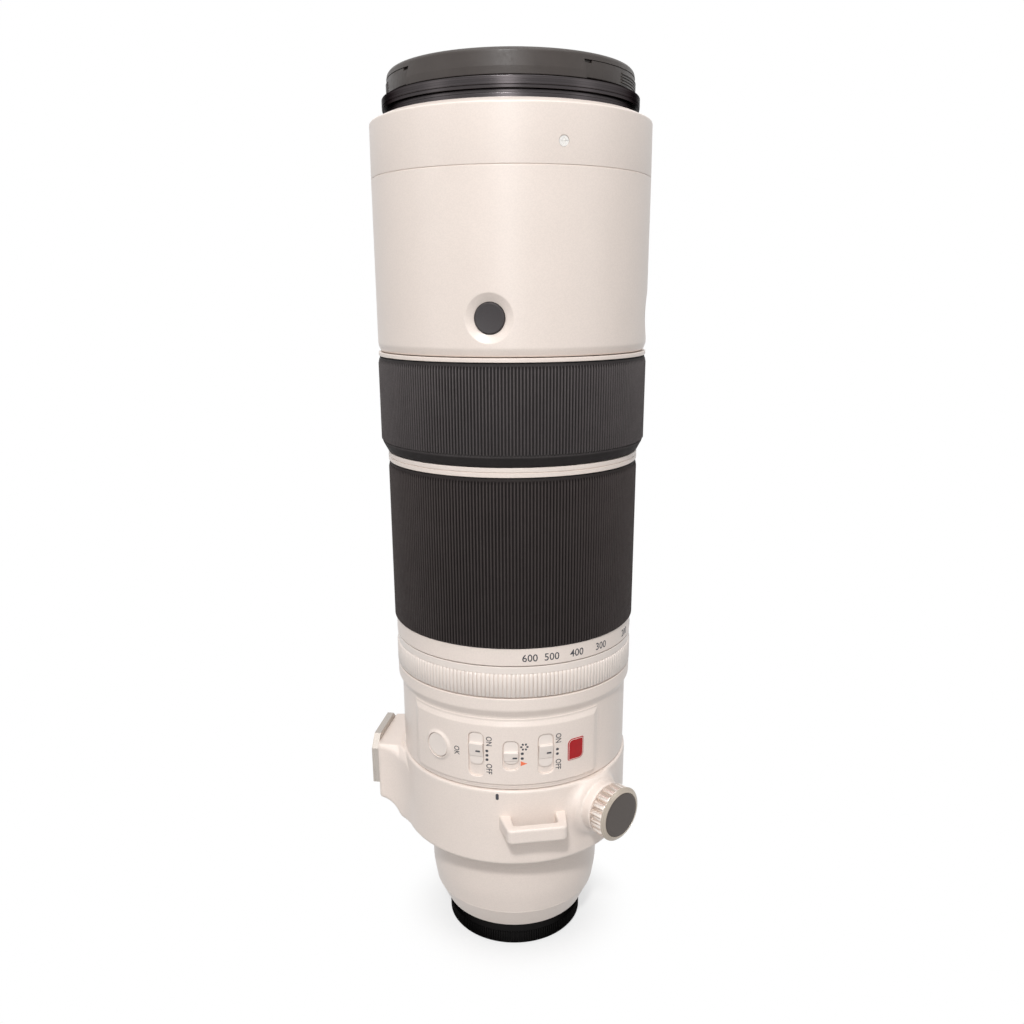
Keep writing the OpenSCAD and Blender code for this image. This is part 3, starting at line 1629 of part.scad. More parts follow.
// Cell of the two front elements
module front_cell() {
    top = filter_z - throat_h - seat_gap;
    out_low = second_glass_r + cell_wall;
    low = cell_z - cell_tail;
    seat_r = front_glass_r + glass_gap;
    second_r = second_glass_r + glass_gap;
    color(black)
        turned([[second_glass_r - second_lip, low], [out_low, low], [out_low, cell_z],
                [cell_r, cell_z], [cell_r, top], [seat_r, top],
                [seat_r, cell_z + front_seat], [second_r, cell_z + front_seat],
                [second_r, low + second_seat], [second_glass_r - second_lip, low + second_seat]]);
}

// Large front element
module front_element() {
    lip = front_glass_r - second_glass_r - glass_gap;
    seat_z = cell_z + front_seat + seat_lift(front_glass_r, lip, front_back_curve);
    element(front_glass_r, seat_z, seat_z + front_glass_t, front_curve, front_back_curve);
}

// Second element behind it
module second_element() {
    seat_z = cell_z - cell_tail + second_seat
             + seat_lift(second_glass_r, second_lip, second_curve);
    element(second_glass_r, seat_z, seat_z + second_glass_t, second_curve, second_curve);
}

// Front cap: a plate with a rim and two pockets for the levers
module front_cap() {
    slope = 0.85;
    c = 0.8;
    well_w = 9;
    well_r = cap_r - well_w;
    plate_z = cap_top_z - cap_plate;
    color(black)
        difference() {
            turned([[0, plate_z], [cap_r - cap_wall, plate_z],
                    [cap_r - cap_wall, cap_z], [cap_r, cap_z], [cap_r - slope, cap_top_z - c],
                    [cap_r - slope - c, cap_top_z], [well_r + c, cap_top_z],
                    [well_r, cap_top_z - c / 2], [0, cap_top_z - c / 2]]);
            for (t = [top_turn, foot_turn])
                at_turn(t)
                    lever_space(cap_r + over, pocket_r, pocket_half, cap_z - over, plate_z);
        }
}

// The part of a ring that lies within a half width of the -Y direction
module lever_space(r_out, r_in, half, z0, z1) {
    intersection() {
        tube(r_out, r_in, z0, z1);
        translate([-half, -r_out - over, z0])
            cube([2 * half, r_out + over - r_in / 2, z1 - z0]);
    }
}

// A lever of the front cap with its claw in the filter ring's mouth
module cap_lever(turn) {
    low = cap_z + lever_inset;
    high = cap_top_z - cap_plate - part_gap;
    body_half = pocket_half - part_gap;
    out_r = cap_r - lever_inset;
    claw_half = 8;
    claw_r = mouth_r - part_gap;
    claw_t = 1;
    claw_reach = 4;
    claw_low = hood_top_z - claw_reach;
    grip_deep = 0.6;
    grip_share = 0.82;
    color(black)
        at_turn(turn) {
            difference() {
                lever_space(out_r, cap_r - lever_deep, body_half, low, high);
                lever_space(cap_r + over, out_r - grip_deep, grip_share * body_half,
                            low + over, high + over);
            }
            lever_space(claw_r, claw_r - claw_t, claw_half, claw_low, low + seat_gap);
        }
}

// Lever on the top side
module cap_lever_top() {
    cap_lever(top_turn);
}

// Lever on the foot's side
module cap_lever_foot() {
    cap_lever(foot_turn);
}

rear_cap();
rear_cover();
mount_plate();
mount_screws();
contact_block();
circuit_board();
rear_lens_cell();
rear_elements();
rear_barrel();
collar_slide_rings();
collar_retainer();
control_panel();
panel_badge();
set_button();
focus_mode_switch();
preset_switch();
range_switch();
tripod_collar();
strap_lugs();
foot_plate();
foot_screws();
brake_pad();
lock_knob();
knob_face();
aperture_ring();
main_tube();
guide_tube();
cam_barrel();
zoom_ring();
zoom_grip();
zoom_cell();
zoom_lens();
focus_rods();
focus_motor();
focus_cell();
focus_lens();
stabiliser_base();
stabiliser_guide();
stabiliser_cell();
stabiliser_lens();
iris_housing();
iris_blades();
middle_trim_ring();
focus_ring();
focus_grip();
front_trim_ring();
front_barrel();
hold_button_side();
hold_button_top();
hold_button_back();
hold_button_foot();
front_ring();
front_ring_screws();
filter_ring();
front_cell();
front_element();
second_element();
front_cap();
cap_lever_top();
cap_lever_foot();
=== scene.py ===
"""Dresses a long white zoom lens: its turned rings, rubber grips, cast collar, switch panel,
caps and inner pieces, on a plain white stage. Lengths in the code are millimetres."""

import math
from collections import namedtuple
from itertools import product

import bmesh
import bpy
import numpy as np
from mathutils import Matrix, Vector


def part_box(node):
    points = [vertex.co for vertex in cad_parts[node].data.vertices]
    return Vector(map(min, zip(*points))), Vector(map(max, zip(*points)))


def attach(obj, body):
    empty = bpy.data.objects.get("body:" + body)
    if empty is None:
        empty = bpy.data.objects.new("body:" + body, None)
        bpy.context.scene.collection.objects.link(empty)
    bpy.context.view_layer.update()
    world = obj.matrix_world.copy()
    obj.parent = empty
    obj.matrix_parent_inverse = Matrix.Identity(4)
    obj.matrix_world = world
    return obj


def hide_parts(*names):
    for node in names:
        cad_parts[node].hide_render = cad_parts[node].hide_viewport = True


bl_info = {
    "name": "Super telephoto lens",
    "version": (1, 0, 0),
    "blender": (4, 5, 0),
    "location": "3D Viewport > Sidebar > Lens",
    "description": "Makes a long zoom lens with ribbed grips, a tripod collar, caps and a stage",
    "category": "Add Mesh",
}

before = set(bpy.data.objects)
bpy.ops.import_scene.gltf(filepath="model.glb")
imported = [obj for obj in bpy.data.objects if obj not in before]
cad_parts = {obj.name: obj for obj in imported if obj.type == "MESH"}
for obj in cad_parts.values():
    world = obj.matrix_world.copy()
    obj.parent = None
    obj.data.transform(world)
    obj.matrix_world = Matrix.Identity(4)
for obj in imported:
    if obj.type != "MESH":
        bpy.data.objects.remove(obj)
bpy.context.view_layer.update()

MM = 0.001
TURN = 2 * math.pi
CORNER_STEPS = 5
SHARP = math.radians(38)
RING_BORE = 41.06
TRIM_BORE = 41.04
KNOB_Z = 70.8
FINISHES = {}


def tint(red, green, blue):
    """Linear colour of a display colour in 0 to 255"""
    shares = [c / 255 for c in (red, green, blue)]
    return tuple(s / 12.92 if s <= 0.04045 else ((s + 0.055) / 1.055) ** 2.4 for s in shares)


def colour(name, description, *display):
    """A colour setting"""
    return bpy.props.FloatVectorProperty(name=name, description=description, subtype="COLOR",
                                         size=3, min=0, max=1, default=tint(*display))


def distance(name, description, millimetres):
    """A length setting"""
    return bpy.props.FloatProperty(name=name, description=description, unit="LENGTH",
                                   default=millimetres * MM)


def angle(name, description, degrees):
    """An angle setting"""
    return bpy.props.FloatProperty(name=name, description=description, subtype="ANGLE",
                                   default=math.radians(degrees))


def number(name, description, default):
    """A counted setting"""
    return bpy.props.IntProperty(name=name, description=description, default=default, min=3)


class LensColours(bpy.types.PropertyGroup):
    """Colours of the finishes"""
    pearl: colour("Pearl white", "Paint of the barrel", 232, 219, 210)
    white: colour("White plastic", "Sliders, set button and aperture ring", 233, 222, 214)
    focus_rubber: colour("Focus rubber", "Ribbed focus grip", 88, 83, 83)
    zoom_rubber: colour("Zoom rubber", "Ribbed zoom grip", 70, 64, 63)
    cap: colour("Cap black", "Front cap, levers and small moulded pieces", 66, 60, 57)
    # painted shade: the cap black made darker for the low rear cap
    rear_cap: colour("Rear cap black", "Rear cap", 30, 29, 29)
    black: colour("Black metal", "Hood ring and inner tubes", 72, 68, 69)
    silver: colour("Silver", "Foot plate, knob and mount", 205, 200, 194)
    knob_face: colour("Knob face", "Dark disc in the knob", 84, 77, 73)
    button: colour("Button grey", "Focus hold buttons", 62, 58, 59)
    red: colour("Badge red", "Badge beside the switches", 168, 14, 22)
    ink: colour("Ink", "Numbers and marks", 62, 62, 68)
    accent: colour("Accent", "Small coloured mark", 240, 122, 84)


class LensSizes(bpy.types.PropertyGroup):
    """Sizes, counts and directions that shape the pieces"""
    steps: number("Turned steps", "Flat steps round a turned piece", 240)
    focus_ribs: number("Focus ribs", "Ribs round the focus grip", 270)
    zoom_ribs: number("Zoom ribs", "Ribs round the zoom grip", 250)
    aperture_lobes: number("Aperture lobes", "Lobes round the aperture ring", 184)
    cap_ribs: number("Rear cap ribs", "Fine ribs round the rear cap", 168)
    flutes: number("Knob flutes", "Flutes round the lock knob", 16)
    rib_depth: distance("Rib depth", "Depth of the rubber ribs", 0.8)
    lobe_depth: distance("Lobe depth", "Depth of the aperture lobes", 0.7)
    cast_step: distance("Casting step", "Grid step of the cast collar", 0.6)
    panel_step: distance("Panel step", "Grid step of the switch panel", 0.22)
    ink_height: distance("Ink height", "How far printed marks stand out", 0.03)
    side: angle("Side", "Turn of the switch side from -Y towards +X", -8.6)
    lock: angle("Lock", "Turn of the lock knob", 43)
    lug: angle("Lug", "Turn of the near strap lug", 9)


class LensStage(bpy.types.PropertyGroup):
    """Camera and light"""
    lens: bpy.props.FloatProperty(name="Focal length", description="Of the camera, on 36 mm",
                                  default=33.09, unit="CAMERA")
    pitch: angle("Pitch", "How far the camera looks down", 16.725)
    roll: angle("Roll", "Tilt of the camera about its view", -0.29)
    key_power: bpy.props.FloatProperty(name="Key power", description="High lamp in front",
                                       default=26.5, unit="POWER")
    strip_power: bpy.props.FloatProperty(name="Strip power", description="Upright front softbox",
                                         default=4.1, unit="POWER")
    top_power: bpy.props.FloatProperty(name="Top power", description="Softbox overhead",
                                       default=9.0, unit="POWER")
    side_power: bpy.props.FloatProperty(name="Side power", description="Side softboxes",
                                        default=1.1, unit="POWER")
    ambient: bpy.props.FloatProperty(name="Ambient", description="Strength of the white room",
                                     default=0.31)


def sizes():
    """The size settings"""
    return bpy.context.scene.lens_sizes


def length(name):
    """A length setting in millimetres"""
    return getattr(sizes(), name) / MM


def turn_of(place):
    """Turn of a direction about the axis, from -Y towards +X, in radians"""
    side = sizes().side
    quarter = math.pi / 2
    return {"side": side, "foot": side - quarter, "top": side + quarter,
            "back": side + 2 * quarter, "lock": sizes().lock, "lug": sizes().lug,
            "far_lug": 2 * (side - quarter) - sizes().lug}[place]


def span(node):
    """Outer radius, lowest height and highest height of a turned node"""
    low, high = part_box(node)
    return high.x / MM, low.z / MM, high.z / MM


def add_node(tree, kind, inputs=None, **attributes):
    """Adds a node, sets its attributes, and sets or links its inputs by name or number"""
    new = tree.nodes.new(kind)
    for name, value in attributes.items():
        setattr(new, name, value)
    for name, value in (inputs or {}).items():
        if isinstance(value, bpy.types.NodeSocket):
            tree.links.new(value, new.inputs[name])
        else:
            new.inputs[name].default_value = value
    return new


class Finish:
    """A material under construction, with patterns on the piece's own coordinates"""

    def __init__(self, name, base, roughness, metallic=0.0, **sockets):
        self.material = bpy.data.materials.new(name)
        self.material.use_nodes = True
        self.tree = self.material.node_tree
        self.shader = self.tree.nodes["Principled BSDF"]
        self.base = (*base, 1.0)
        self.shader.inputs["Base Color"].default_value = self.base
        self.shader.inputs["Roughness"].default_value = roughness
        self.shader.inputs["Metallic"].default_value = metallic
        for socket, value in sockets.items():
            self.shader.inputs[socket.replace("_", " ")].default_value = value
        self.material.diffuse_color = self.base
        self.place = add_node(self.tree, "ShaderNodeTexCoord").outputs["Object"]
        self.normal = None
        FINISHES[name] = self.material

    def spread(self, size, stretch=(1, 1, 1), turned_to=None):
        """Coordinates in grains of a size in millimetres, drawn out along the axes"""
        place = self.place
        if turned_to is not None:
            spot, spin = turned_to
            place = add_node(self.tree, "ShaderNodeMapping", {
                "Vector": place, "Location": spot, "Rotation": spin},
                vector_type="TEXTURE").outputs[0]
        scale = [s / (size * MM) for s in stretch]
        return add_node(self.tree, "ShaderNodeMapping",
                        {"Vector": place, "Scale": scale}).outputs[0]

    def grain(self, size, detail=2.0, stretch=(1, 1, 1), turned_to=None):
        """Soft noise"""
        return add_node(self.tree, "ShaderNodeTexNoise", {
            "Vector": self.spread(size, stretch, turned_to), "Scale": 1.0,
            "Detail": detail}).outputs[0]

    def flecks(self, size):
        """Small cells of random brightness"""
        cells = add_node(self.tree, "ShaderNodeTexVoronoi",
                         {"Vector": self.spread(size), "Scale": 1.0})
        return add_node(self.tree, "ShaderNodeSeparateColor",
                        {0: cells.outputs["Color"]}).outputs[0]

    def from_axis(self, place):
        """Distance from the axis of some coordinates, and height along it"""
        apart = add_node(self.tree, "ShaderNodeSeparateXYZ", {0: place}).outputs
        flat = add_node(self.tree, "ShaderNodeCombineXYZ", {0: apart[0], 1: apart[1]})
        reach = add_node(self.tree, "ShaderNodeVectorMath", {0: flat.outputs[0]},
                         operation="LENGTH").outputs["Value"]
        return reach, apart[2]

    def rings(self, size, turned_to=None):
        """Fine lines round an axis, as a lathe tool leaves them"""
        reach, height = self.from_axis(self.spread(size, turned_to=turned_to))
        line = add_node(self.tree, "ShaderNodeCombineXYZ", {0: reach, 2: height})
        return add_node(self.tree, "ShaderNodeTexNoise", {
            "Vector": line.outputs[0], "Scale": 1.0, "Detail": 1.0}).outputs[0]

    def between(self, pattern, low, high):
        """A pattern stretched to run from one value to another"""
        return add_node(self.tree, "ShaderNodeMapRange", {
            "Value": pattern, "From Min": 0.3, "From Max": 0.7, "To Min": low,
            "To Max": high}).outputs[0]

    def tone(self, pattern, low, high):
        """Darkens and lightens the colour by a pattern"""
        start = self.base if isinstance(self.base, bpy.types.NodeSocket) else self.base[:3]
        self.base = add_node(self.tree, "ShaderNodeVectorMath", {
            0: start, "Scale": self.between(pattern, low, high)}, operation="SCALE").outputs[0]
        self.tree.links.new(self.base, self.shader.inputs["Base Color"])
        return self

    def paint_groove_shade(self, low, high, share):
        """Paints shade deep in the grooves, darker nearer the lens's axis"""
        level = add_node(self.tree, "ShaderNodeMapRange", {
            "Value": self.from_axis(self.place)[0], "From Min": low * MM,
            "From Max": high * MM, "To Min": share, "To Max": 1.0}).outputs[0]
        self.base = add_node(self.tree, "ShaderNodeVectorMath", {
            0: self.base, "Scale": level}, operation="SCALE").outputs[0]
        self.tree.links.new(self.base, self.shader.inputs["Base Color"])
        return self

    def gloss(self, pattern, low, high):
        """Makes the roughness follow a pattern"""
        self.tree.links.new(self.between(pattern, low, high), self.shader.inputs["Roughness"])
        return self

    def relief(self, pattern, height, strength=1.0):
        """Raises the surface by a pattern, at most by a height in millimetres"""
        inputs = {"Height": pattern, "Distance": height * MM, "Strength": strength}
        if self.normal is not None:
            inputs["Normal"] = self.normal
        self.normal = add_node(self.tree, "ShaderNodeBump", inputs).outputs[0]
        self.tree.links.new(self.normal, self.shader.inputs["Normal"])
        return self


def smooth(mesh, sharp=SHARP):
    """Shades a mesh smooth between edges sharper than an angle"""
    mesh.shade_smooth()
    mesh.set_sharp_from_angle(angle=sharp)


def solid(name, points, faces, finish, sharp=SHARP):
    """An object from points in millimetres: merged, closed, facing outwards and smoothed"""
    mesh = bpy.data.meshes.new(name)
    mesh.from_pydata((np.asarray(points, float) * MM).tolist(), [], faces)
    work = bmesh.new()
    work.from_mesh(mesh)
    bmesh.ops.remove_doubles(work, verts=work.verts, dist=0.002 * MM)
    bmesh.ops.recalc_face_normals(work, faces=work.faces)
    work.to_mesh(mesh)
    work.free()
    smooth(mesh, sharp)
    mesh.materials.append(FINISHES[finish])
    piece = bpy.data.objects.new(name, mesh)
    bpy.context.scene.collection.objects.link(piece)
    return piece


def settle(piece):
    """Makes what a piece's modifiers give its plain mesh"""
    graph = bpy.context.evaluated_depsgraph_get()
    mesh = bpy.data.meshes.new_from_object(piece.evaluated_get(graph), depsgraph=graph)
    piece.modifiers.clear()
    piece.data = mesh
    return piece


def even_shade(piece):
    """Shades flat faces flat and rounded edges round"""
    modifier = piece.modifiers.new("Even shade", "WEIGHTED_NORMAL")
    modifier.keep_sharp = True
    return settle(piece)


def fix(piece, body, slot, *nodes):
    """Hangs a piece on the body that it rides on and hides the nodes that it stands for; the
    finish slot is not used
    """
    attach(piece, body)
    if nodes:
        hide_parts(*nodes)
    return piece


def soften(outline):
    """Points of a closed outline whose corners are rounded by their own radii"""
    points = []
    for i, (r, z, c) in enumerate(outline):
        here = np.array((r, z), float)
        if not c:
            points.append(here)
            continue
        back = np.array(outline[i - 1][:2]) - here
        on = np.array(outline[(i + 1) % len(outline)][:2]) - here
        start = here + back * min(c / np.linalg.norm(back), 0.45)
        end = here + on * min(c / np.linalg.norm(on), 0.45)
        for t in np.linspace(0, 1, CORNER_STEPS):
            points.append((1 - t) ** 2 * start + 2 * t * (1 - t) * here + t * t * end)
    return np.array(points)


def turned(name, outline, finish, arc=None, turns=None, relief=None):
    """A turned piece from a closed outline of radius, height and rounding"""
    ring = soften(outline)
    if arc is not None:
        turns = np.linspace(*arc, sizes().steps // 2)
    elif turns is None:
        turns = np.linspace(0, TURN, sizes().steps, endpoint=False)
    grid_turn, r = np.meshgrid(turns, ring[:, 0], indexing="ij")
    z = np.broadcast_to(ring[:, 1], r.shape)
    if relief is not None:
        r = relief(grid_turn, r, z)
    points = np.stack([r * np.sin(grid_turn), -r * np.cos(grid_turn), z], -1).reshape(-1, 3)
    rows, columns = len(turns), len(ring)
    last = rows if arc is None else rows - 1
    faces = [(j * columns + i, (j + 1) % rows * columns + i,
              (j + 1) % rows * columns + (i + 1) % columns, j * columns + (i + 1) % columns)
             for j in range(last) for i in range(columns)]
    if arc is not None:
        faces.append(list(range(columns)))
        faces.append(list(range((rows - 1) * columns, rows * columns))[::-1])
    return solid(name, points, faces, finish)


def outward(turn, height):
    """Places what is built about +Z so that it points away from the axis"""
    return (Matrix.Rotation(turn, 4, "Z") @ Matrix.Translation((0, 0, height * MM))
            @ Matrix.Rotation(math.pi / 2, 4, "X"))


def carve(piece, cutter):
    """Takes a cutter's shape out of a piece"""
    modifier = piece.modifiers.new("Carve", "BOOLEAN")
    modifier.operation = "DIFFERENCE"
    modifier.solver = "EXACT"
    modifier.object = cutter
    settle(piece)
    bpy.data.objects.remove(cutter)
    return piece


def trim(piece, across, half):
    """Cuts a piece off flat on both sides of a line across it and closes it"""
    work = bmesh.new()
    work.from_mesh(piece.data)
    for way in (1, -1):
        cut = bmesh.ops.bisect_plane(work, geom=[*work.verts, *work.edges, *work.faces],
                                     plane_co=across * way * half * MM,
                                     plane_no=across * way, clear_outer=True)
        edges = [e for e in cut["geom_cut"] if isinstance(e, bmesh.types.BMEdge)]
        bmesh.ops.holes_fill(work, edges=edges)
    bmesh.ops.recalc_face_normals(work, faces=work.faces)
    work.to_mesh(piece.data)
    work.free()
    smooth(piece.data)
    return piece


def rib_tree():
    """Geometry Nodes: one rib repeated round a ring, joined to the sleeve that carries it"""
    found = bpy.data.node_groups.get("Ribs round a ring")
    if found:
        return found
    tree = bpy.data.node_groups.new("Ribs round a ring", "GeometryNodeTree")
    for name, kind in (("Sleeve", "NodeSocketGeometry"), ("Rib", "NodeSocketObject"),
                       ("Count", "NodeSocketInt"), ("Radius", "NodeSocketFloat"),
                       ("Finish", "NodeSocketMaterial")):
        tree.interface.new_socket(name, in_out="INPUT", socket_type=kind)
    tree.interface.new_socket("Ribbed sleeve", in_out="OUTPUT", socket_type="NodeSocketGeometry")
    given = add_node(tree, "NodeGroupInput").outputs
    ring = add_node(tree, "GeometryNodeMeshCircle",
                    {"Vertices": given["Count"], "Radius": given["Radius"]})
    share = add_node(tree, "ShaderNodeMath", {0: TURN, 1: given["Count"]}, operation="DIVIDE")
    index = add_node(tree, "GeometryNodeInputIndex")
    turn = add_node(tree, "ShaderNodeMath", {0: index.outputs[0], 1: share.outputs[0]},
                    operation="MULTIPLY")
    spin = add_node(tree, "ShaderNodeCombineXYZ", {2: turn.outputs[0]})
    rib = add_node(tree, "GeometryNodeObjectInfo", {"Object": given["Rib"]})
    ribs = add_node(tree, "GeometryNodeInstanceOnPoints", {
        "Points": ring.outputs[0], "Instance": rib.outputs["Geometry"],
        "Rotation": spin.outputs[0]})
    both = add_node(tree, "GeometryNodeJoinGeometry", {0: given["Sleeve"]})
    tree.links.new(ribs.outputs[0], both.inputs[0])
    real = add_node(tree, "GeometryNodeRealizeInstances", {0: both.outputs[0]})
    painted = add_node(tree, "GeometryNodeSetMaterial",
                       {0: real.outputs[0], "Material": given["Finish"]})
    add_node(tree, "NodeGroupOutput", {0: painted.outputs[0]})
    return tree


def rib(stations, depth, crown=0.6):
    """One rib that stands out along +X, from stations of height, half width and share of depth"""
    sink = 0.25
    rows = []
    for z, half, share in stations:
        out = depth * share
        rows.append([(-sink, -half, z), (out * crown, -half, z), (out, -half * crown, z),
                     (out, half * crown, z), (out * crown, half, z), (-sink, half, z)])
    sides = len(rows[0])
    faces = [(a * sides + i, a * sides + (i + 1) % sides, (a + 1) * sides + (i + 1) % sides,
              (a + 1) * sides + i) for a in range(len(rows) - 1) for i in range(sides)]
    faces += [list(range(sides))[::-1],
              list(range((len(rows) - 1) * sides, len(rows) * sides))]
    return solid("rib", np.concatenate(rows), faces, "pearl", sharp=math.radians(50))


def ribbed(sleeve, one_rib, count, radius, finish):
    """A sleeve with ribs all round it, as one plain mesh"""
    tree = rib_tree()
    modifier = sleeve.modifiers.new("Ribs", "NODES")
    modifier.node_group = tree
    inputs = {s.name: s.identifier for s in tree.interface.items_tree if s.in_out == "INPUT"}
    modifier[inputs["Rib"]] = one_rib
    modifier[inputs["Count"]] = count
    modifier[inputs["Radius"]] = radius * MM
    modifier[inputs["Finish"]] = FINISHES[finish]
    settle(sleeve)
    bpy.data.objects.remove(one_rib)
    return sleeve


def rounded_box(x, y, half_w, half_h, c):
    """Distance from a rectangle with rounded corners"""
    qx, qy = np.abs(x) - half_w + c, np.abs(y) - half_h + c
    return (np.hypot(np.maximum(qx, 0), np.maximum(qy, 0))
            + np.minimum(np.maximum(qx, qy), 0) - c)


def join(a, b, blend):
    """Distance from two shapes joined with a fillet"""
    near = np.maximum(blend - np.abs(a - b), 0) / blend
    return np.minimum(a, b) - near * near * blend / 4


def keep(a, b, blend):
    """Distance from what two shapes share, with a rounded edge"""
    return -join(-a, -b, blend)


def cut(a, b, blend):
    """Distance from one shape less another, with a rounded edge"""
    return keep(a, -b, blend)


def cast(name, shape, low, high, step, finish, place=None):
    """A closed mesh of the surface where a shape's distance is nought, inside a box"""
    axes = [np.arange(a - 1.5 * step, b + 2.5 * step, step) for a, b in zip(low, high)]
    inside = shape(*np.meshgrid(*axes, indexing="ij", sparse=True)) < 0
    cells = [n - 1 for n in inside.shape]
    corners = sum(inside[i:i + cells[0], j:j + cells[1], k:k + cells[2]].astype(int)
                  for i, j, k in product((0, 1), repeat=3))
    crossed = (corners > 0) & (corners < 8)
    index = np.full(crossed.shape, -1)
    index[crossed] = np.arange(crossed.sum())
    spots = np.argwhere(crossed)
    centres = np.array([a[0] for a in axes]) + (spots + 0.5) * step
    points = centres.copy()
    tiny = 0.02 * step
    for _ in range(6):
        here = shape(*points.T)
        slope = np.stack([(shape(*(points + tiny * way).T) - shape(*(points - tiny * way).T))
                          / (2 * tiny) for way in np.eye(3)], -1)
        points -= slope * (here / np.maximum((slope ** 2).sum(-1), 0.1))[:, None]
        points = centres + np.clip(points - centres, -0.75 * step, 0.75 * step)
    faces = []
    for axis in range(3):
        u, v = np.eye(3, dtype=int)[(axis + 1) % 3], np.eye(3, dtype=int)[(axis + 2) % 3]
        near = np.moveaxis(np.moveaxis(inside, axis, 0)[:-1], 0, axis)
        far = np.moveaxis(np.moveaxis(inside, axis, 0)[1:], 0, axis)
        edges = np.argwhere(near != far)
        quads = np.stack([index[tuple((edges - shift).T)] for shift in (0 * u, u, u + v, v)], -1)
        out = near[tuple(edges.T)]
        faces.append(np.where(out[:, None], quads, quads[:, ::-1]))
    if place is not None:
        points = place(points)
    return solid(name, points, np.concatenate(faces).tolist(), finish, sharp=math.radians(60))


def wrap(turn, height, radius):
    """Bends a flat layout round the axis: along the face, up, and out from a radius"""
    def place(points):
        phi = turn + points[:, 0] / radius
        reach = radius + points[:, 2]
        return np.stack([reach * np.sin(phi), -reach * np.cos(phi), height + points[:, 1]], -1)
    return place


def upright(turn, height):
    """Turns a layout of across, out and up about the axis, and lifts it"""
    def place(points):
        across, out, z = points.T
        return np.stack([across * math.cos(turn) + out * math.sin(turn),
                         across * math.sin(turn) - out * math.cos(turn), z + height], -1)
    return place


def letters(text, height, narrow=0.8):
    """Points and faces of a flat word about its middle, a hair thick"""
    curve = bpy.data.curves.new("word", "FONT")
    curve.body = text
    curve.size = height / 0.7
    curve.align_x = "CENTER"
    curve.align_y = "CENTER"
    curve.resolution_u = 3
    curve.extrude = length("ink_height") / 2
    curve.offset = 0.012 * height
    word = bpy.data.objects.new("word", curve)
    bpy.context.scene.collection.objects.link(word)
    graph = bpy.context.evaluated_depsgraph_get()
    mesh = bpy.data.meshes.new_from_object(word.evaluated_get(graph), depsgraph=graph)
    points = np.array([v.co for v in mesh.vertices]) * (narrow, 1, 1)
    faces = [tuple(p.vertices) for p in mesh.polygons]
    bpy.data.objects.remove(word)
    return points, faces


def spot(half_w, half_h, c):
    """Points and faces of a flat rounded bar, a hair thick"""
    arc = [(sx * (half_w - c) + c * math.cos(a), sy * (half_h - c) + c * math.sin(a))
           for sx, sy, first in ((1, 1, 0), (-1, 1, 1), (-1, -1, 2), (1, -1, 3))
           for a in np.linspace(first, first + 1, 5) * math.pi / 2]
    count = len(arc)
    half_t = length("ink_height") / 2
    points = np.array([(x, y, z) for z in (-half_t, half_t) for x, y in arc])
    faces = [list(range(count))[::-1], list(range(count, 2 * count))]
    faces += [(i, (i + 1) % count, count + (i + 1) % count, count + i) for i in range(count)]
    return points, faces


def printed(name, marks, radius, finish):
    """Flat marks laid on a cylinder. Each has its shape, turn, height and own spin"""
    points, faces, start = [], [], 0
    for (flat, sides), turn, height, spin in marks:
        c, s = math.cos(spin), math.sin(spin)
        laid = np.stack([flat[:, 0] * c - flat[:, 1] * s, flat[:, 0] * s + flat[:, 1] * c,
                         flat[:, 2] + length("ink_height") / 2], -1)
        points.append(wrap(turn, height, radius)(laid))
        faces += [tuple(i + start for i in side) for side in sides]
        start += len(flat)
    return solid(name, np.concatenate(points), faces, finish, sharp=math.radians(30))


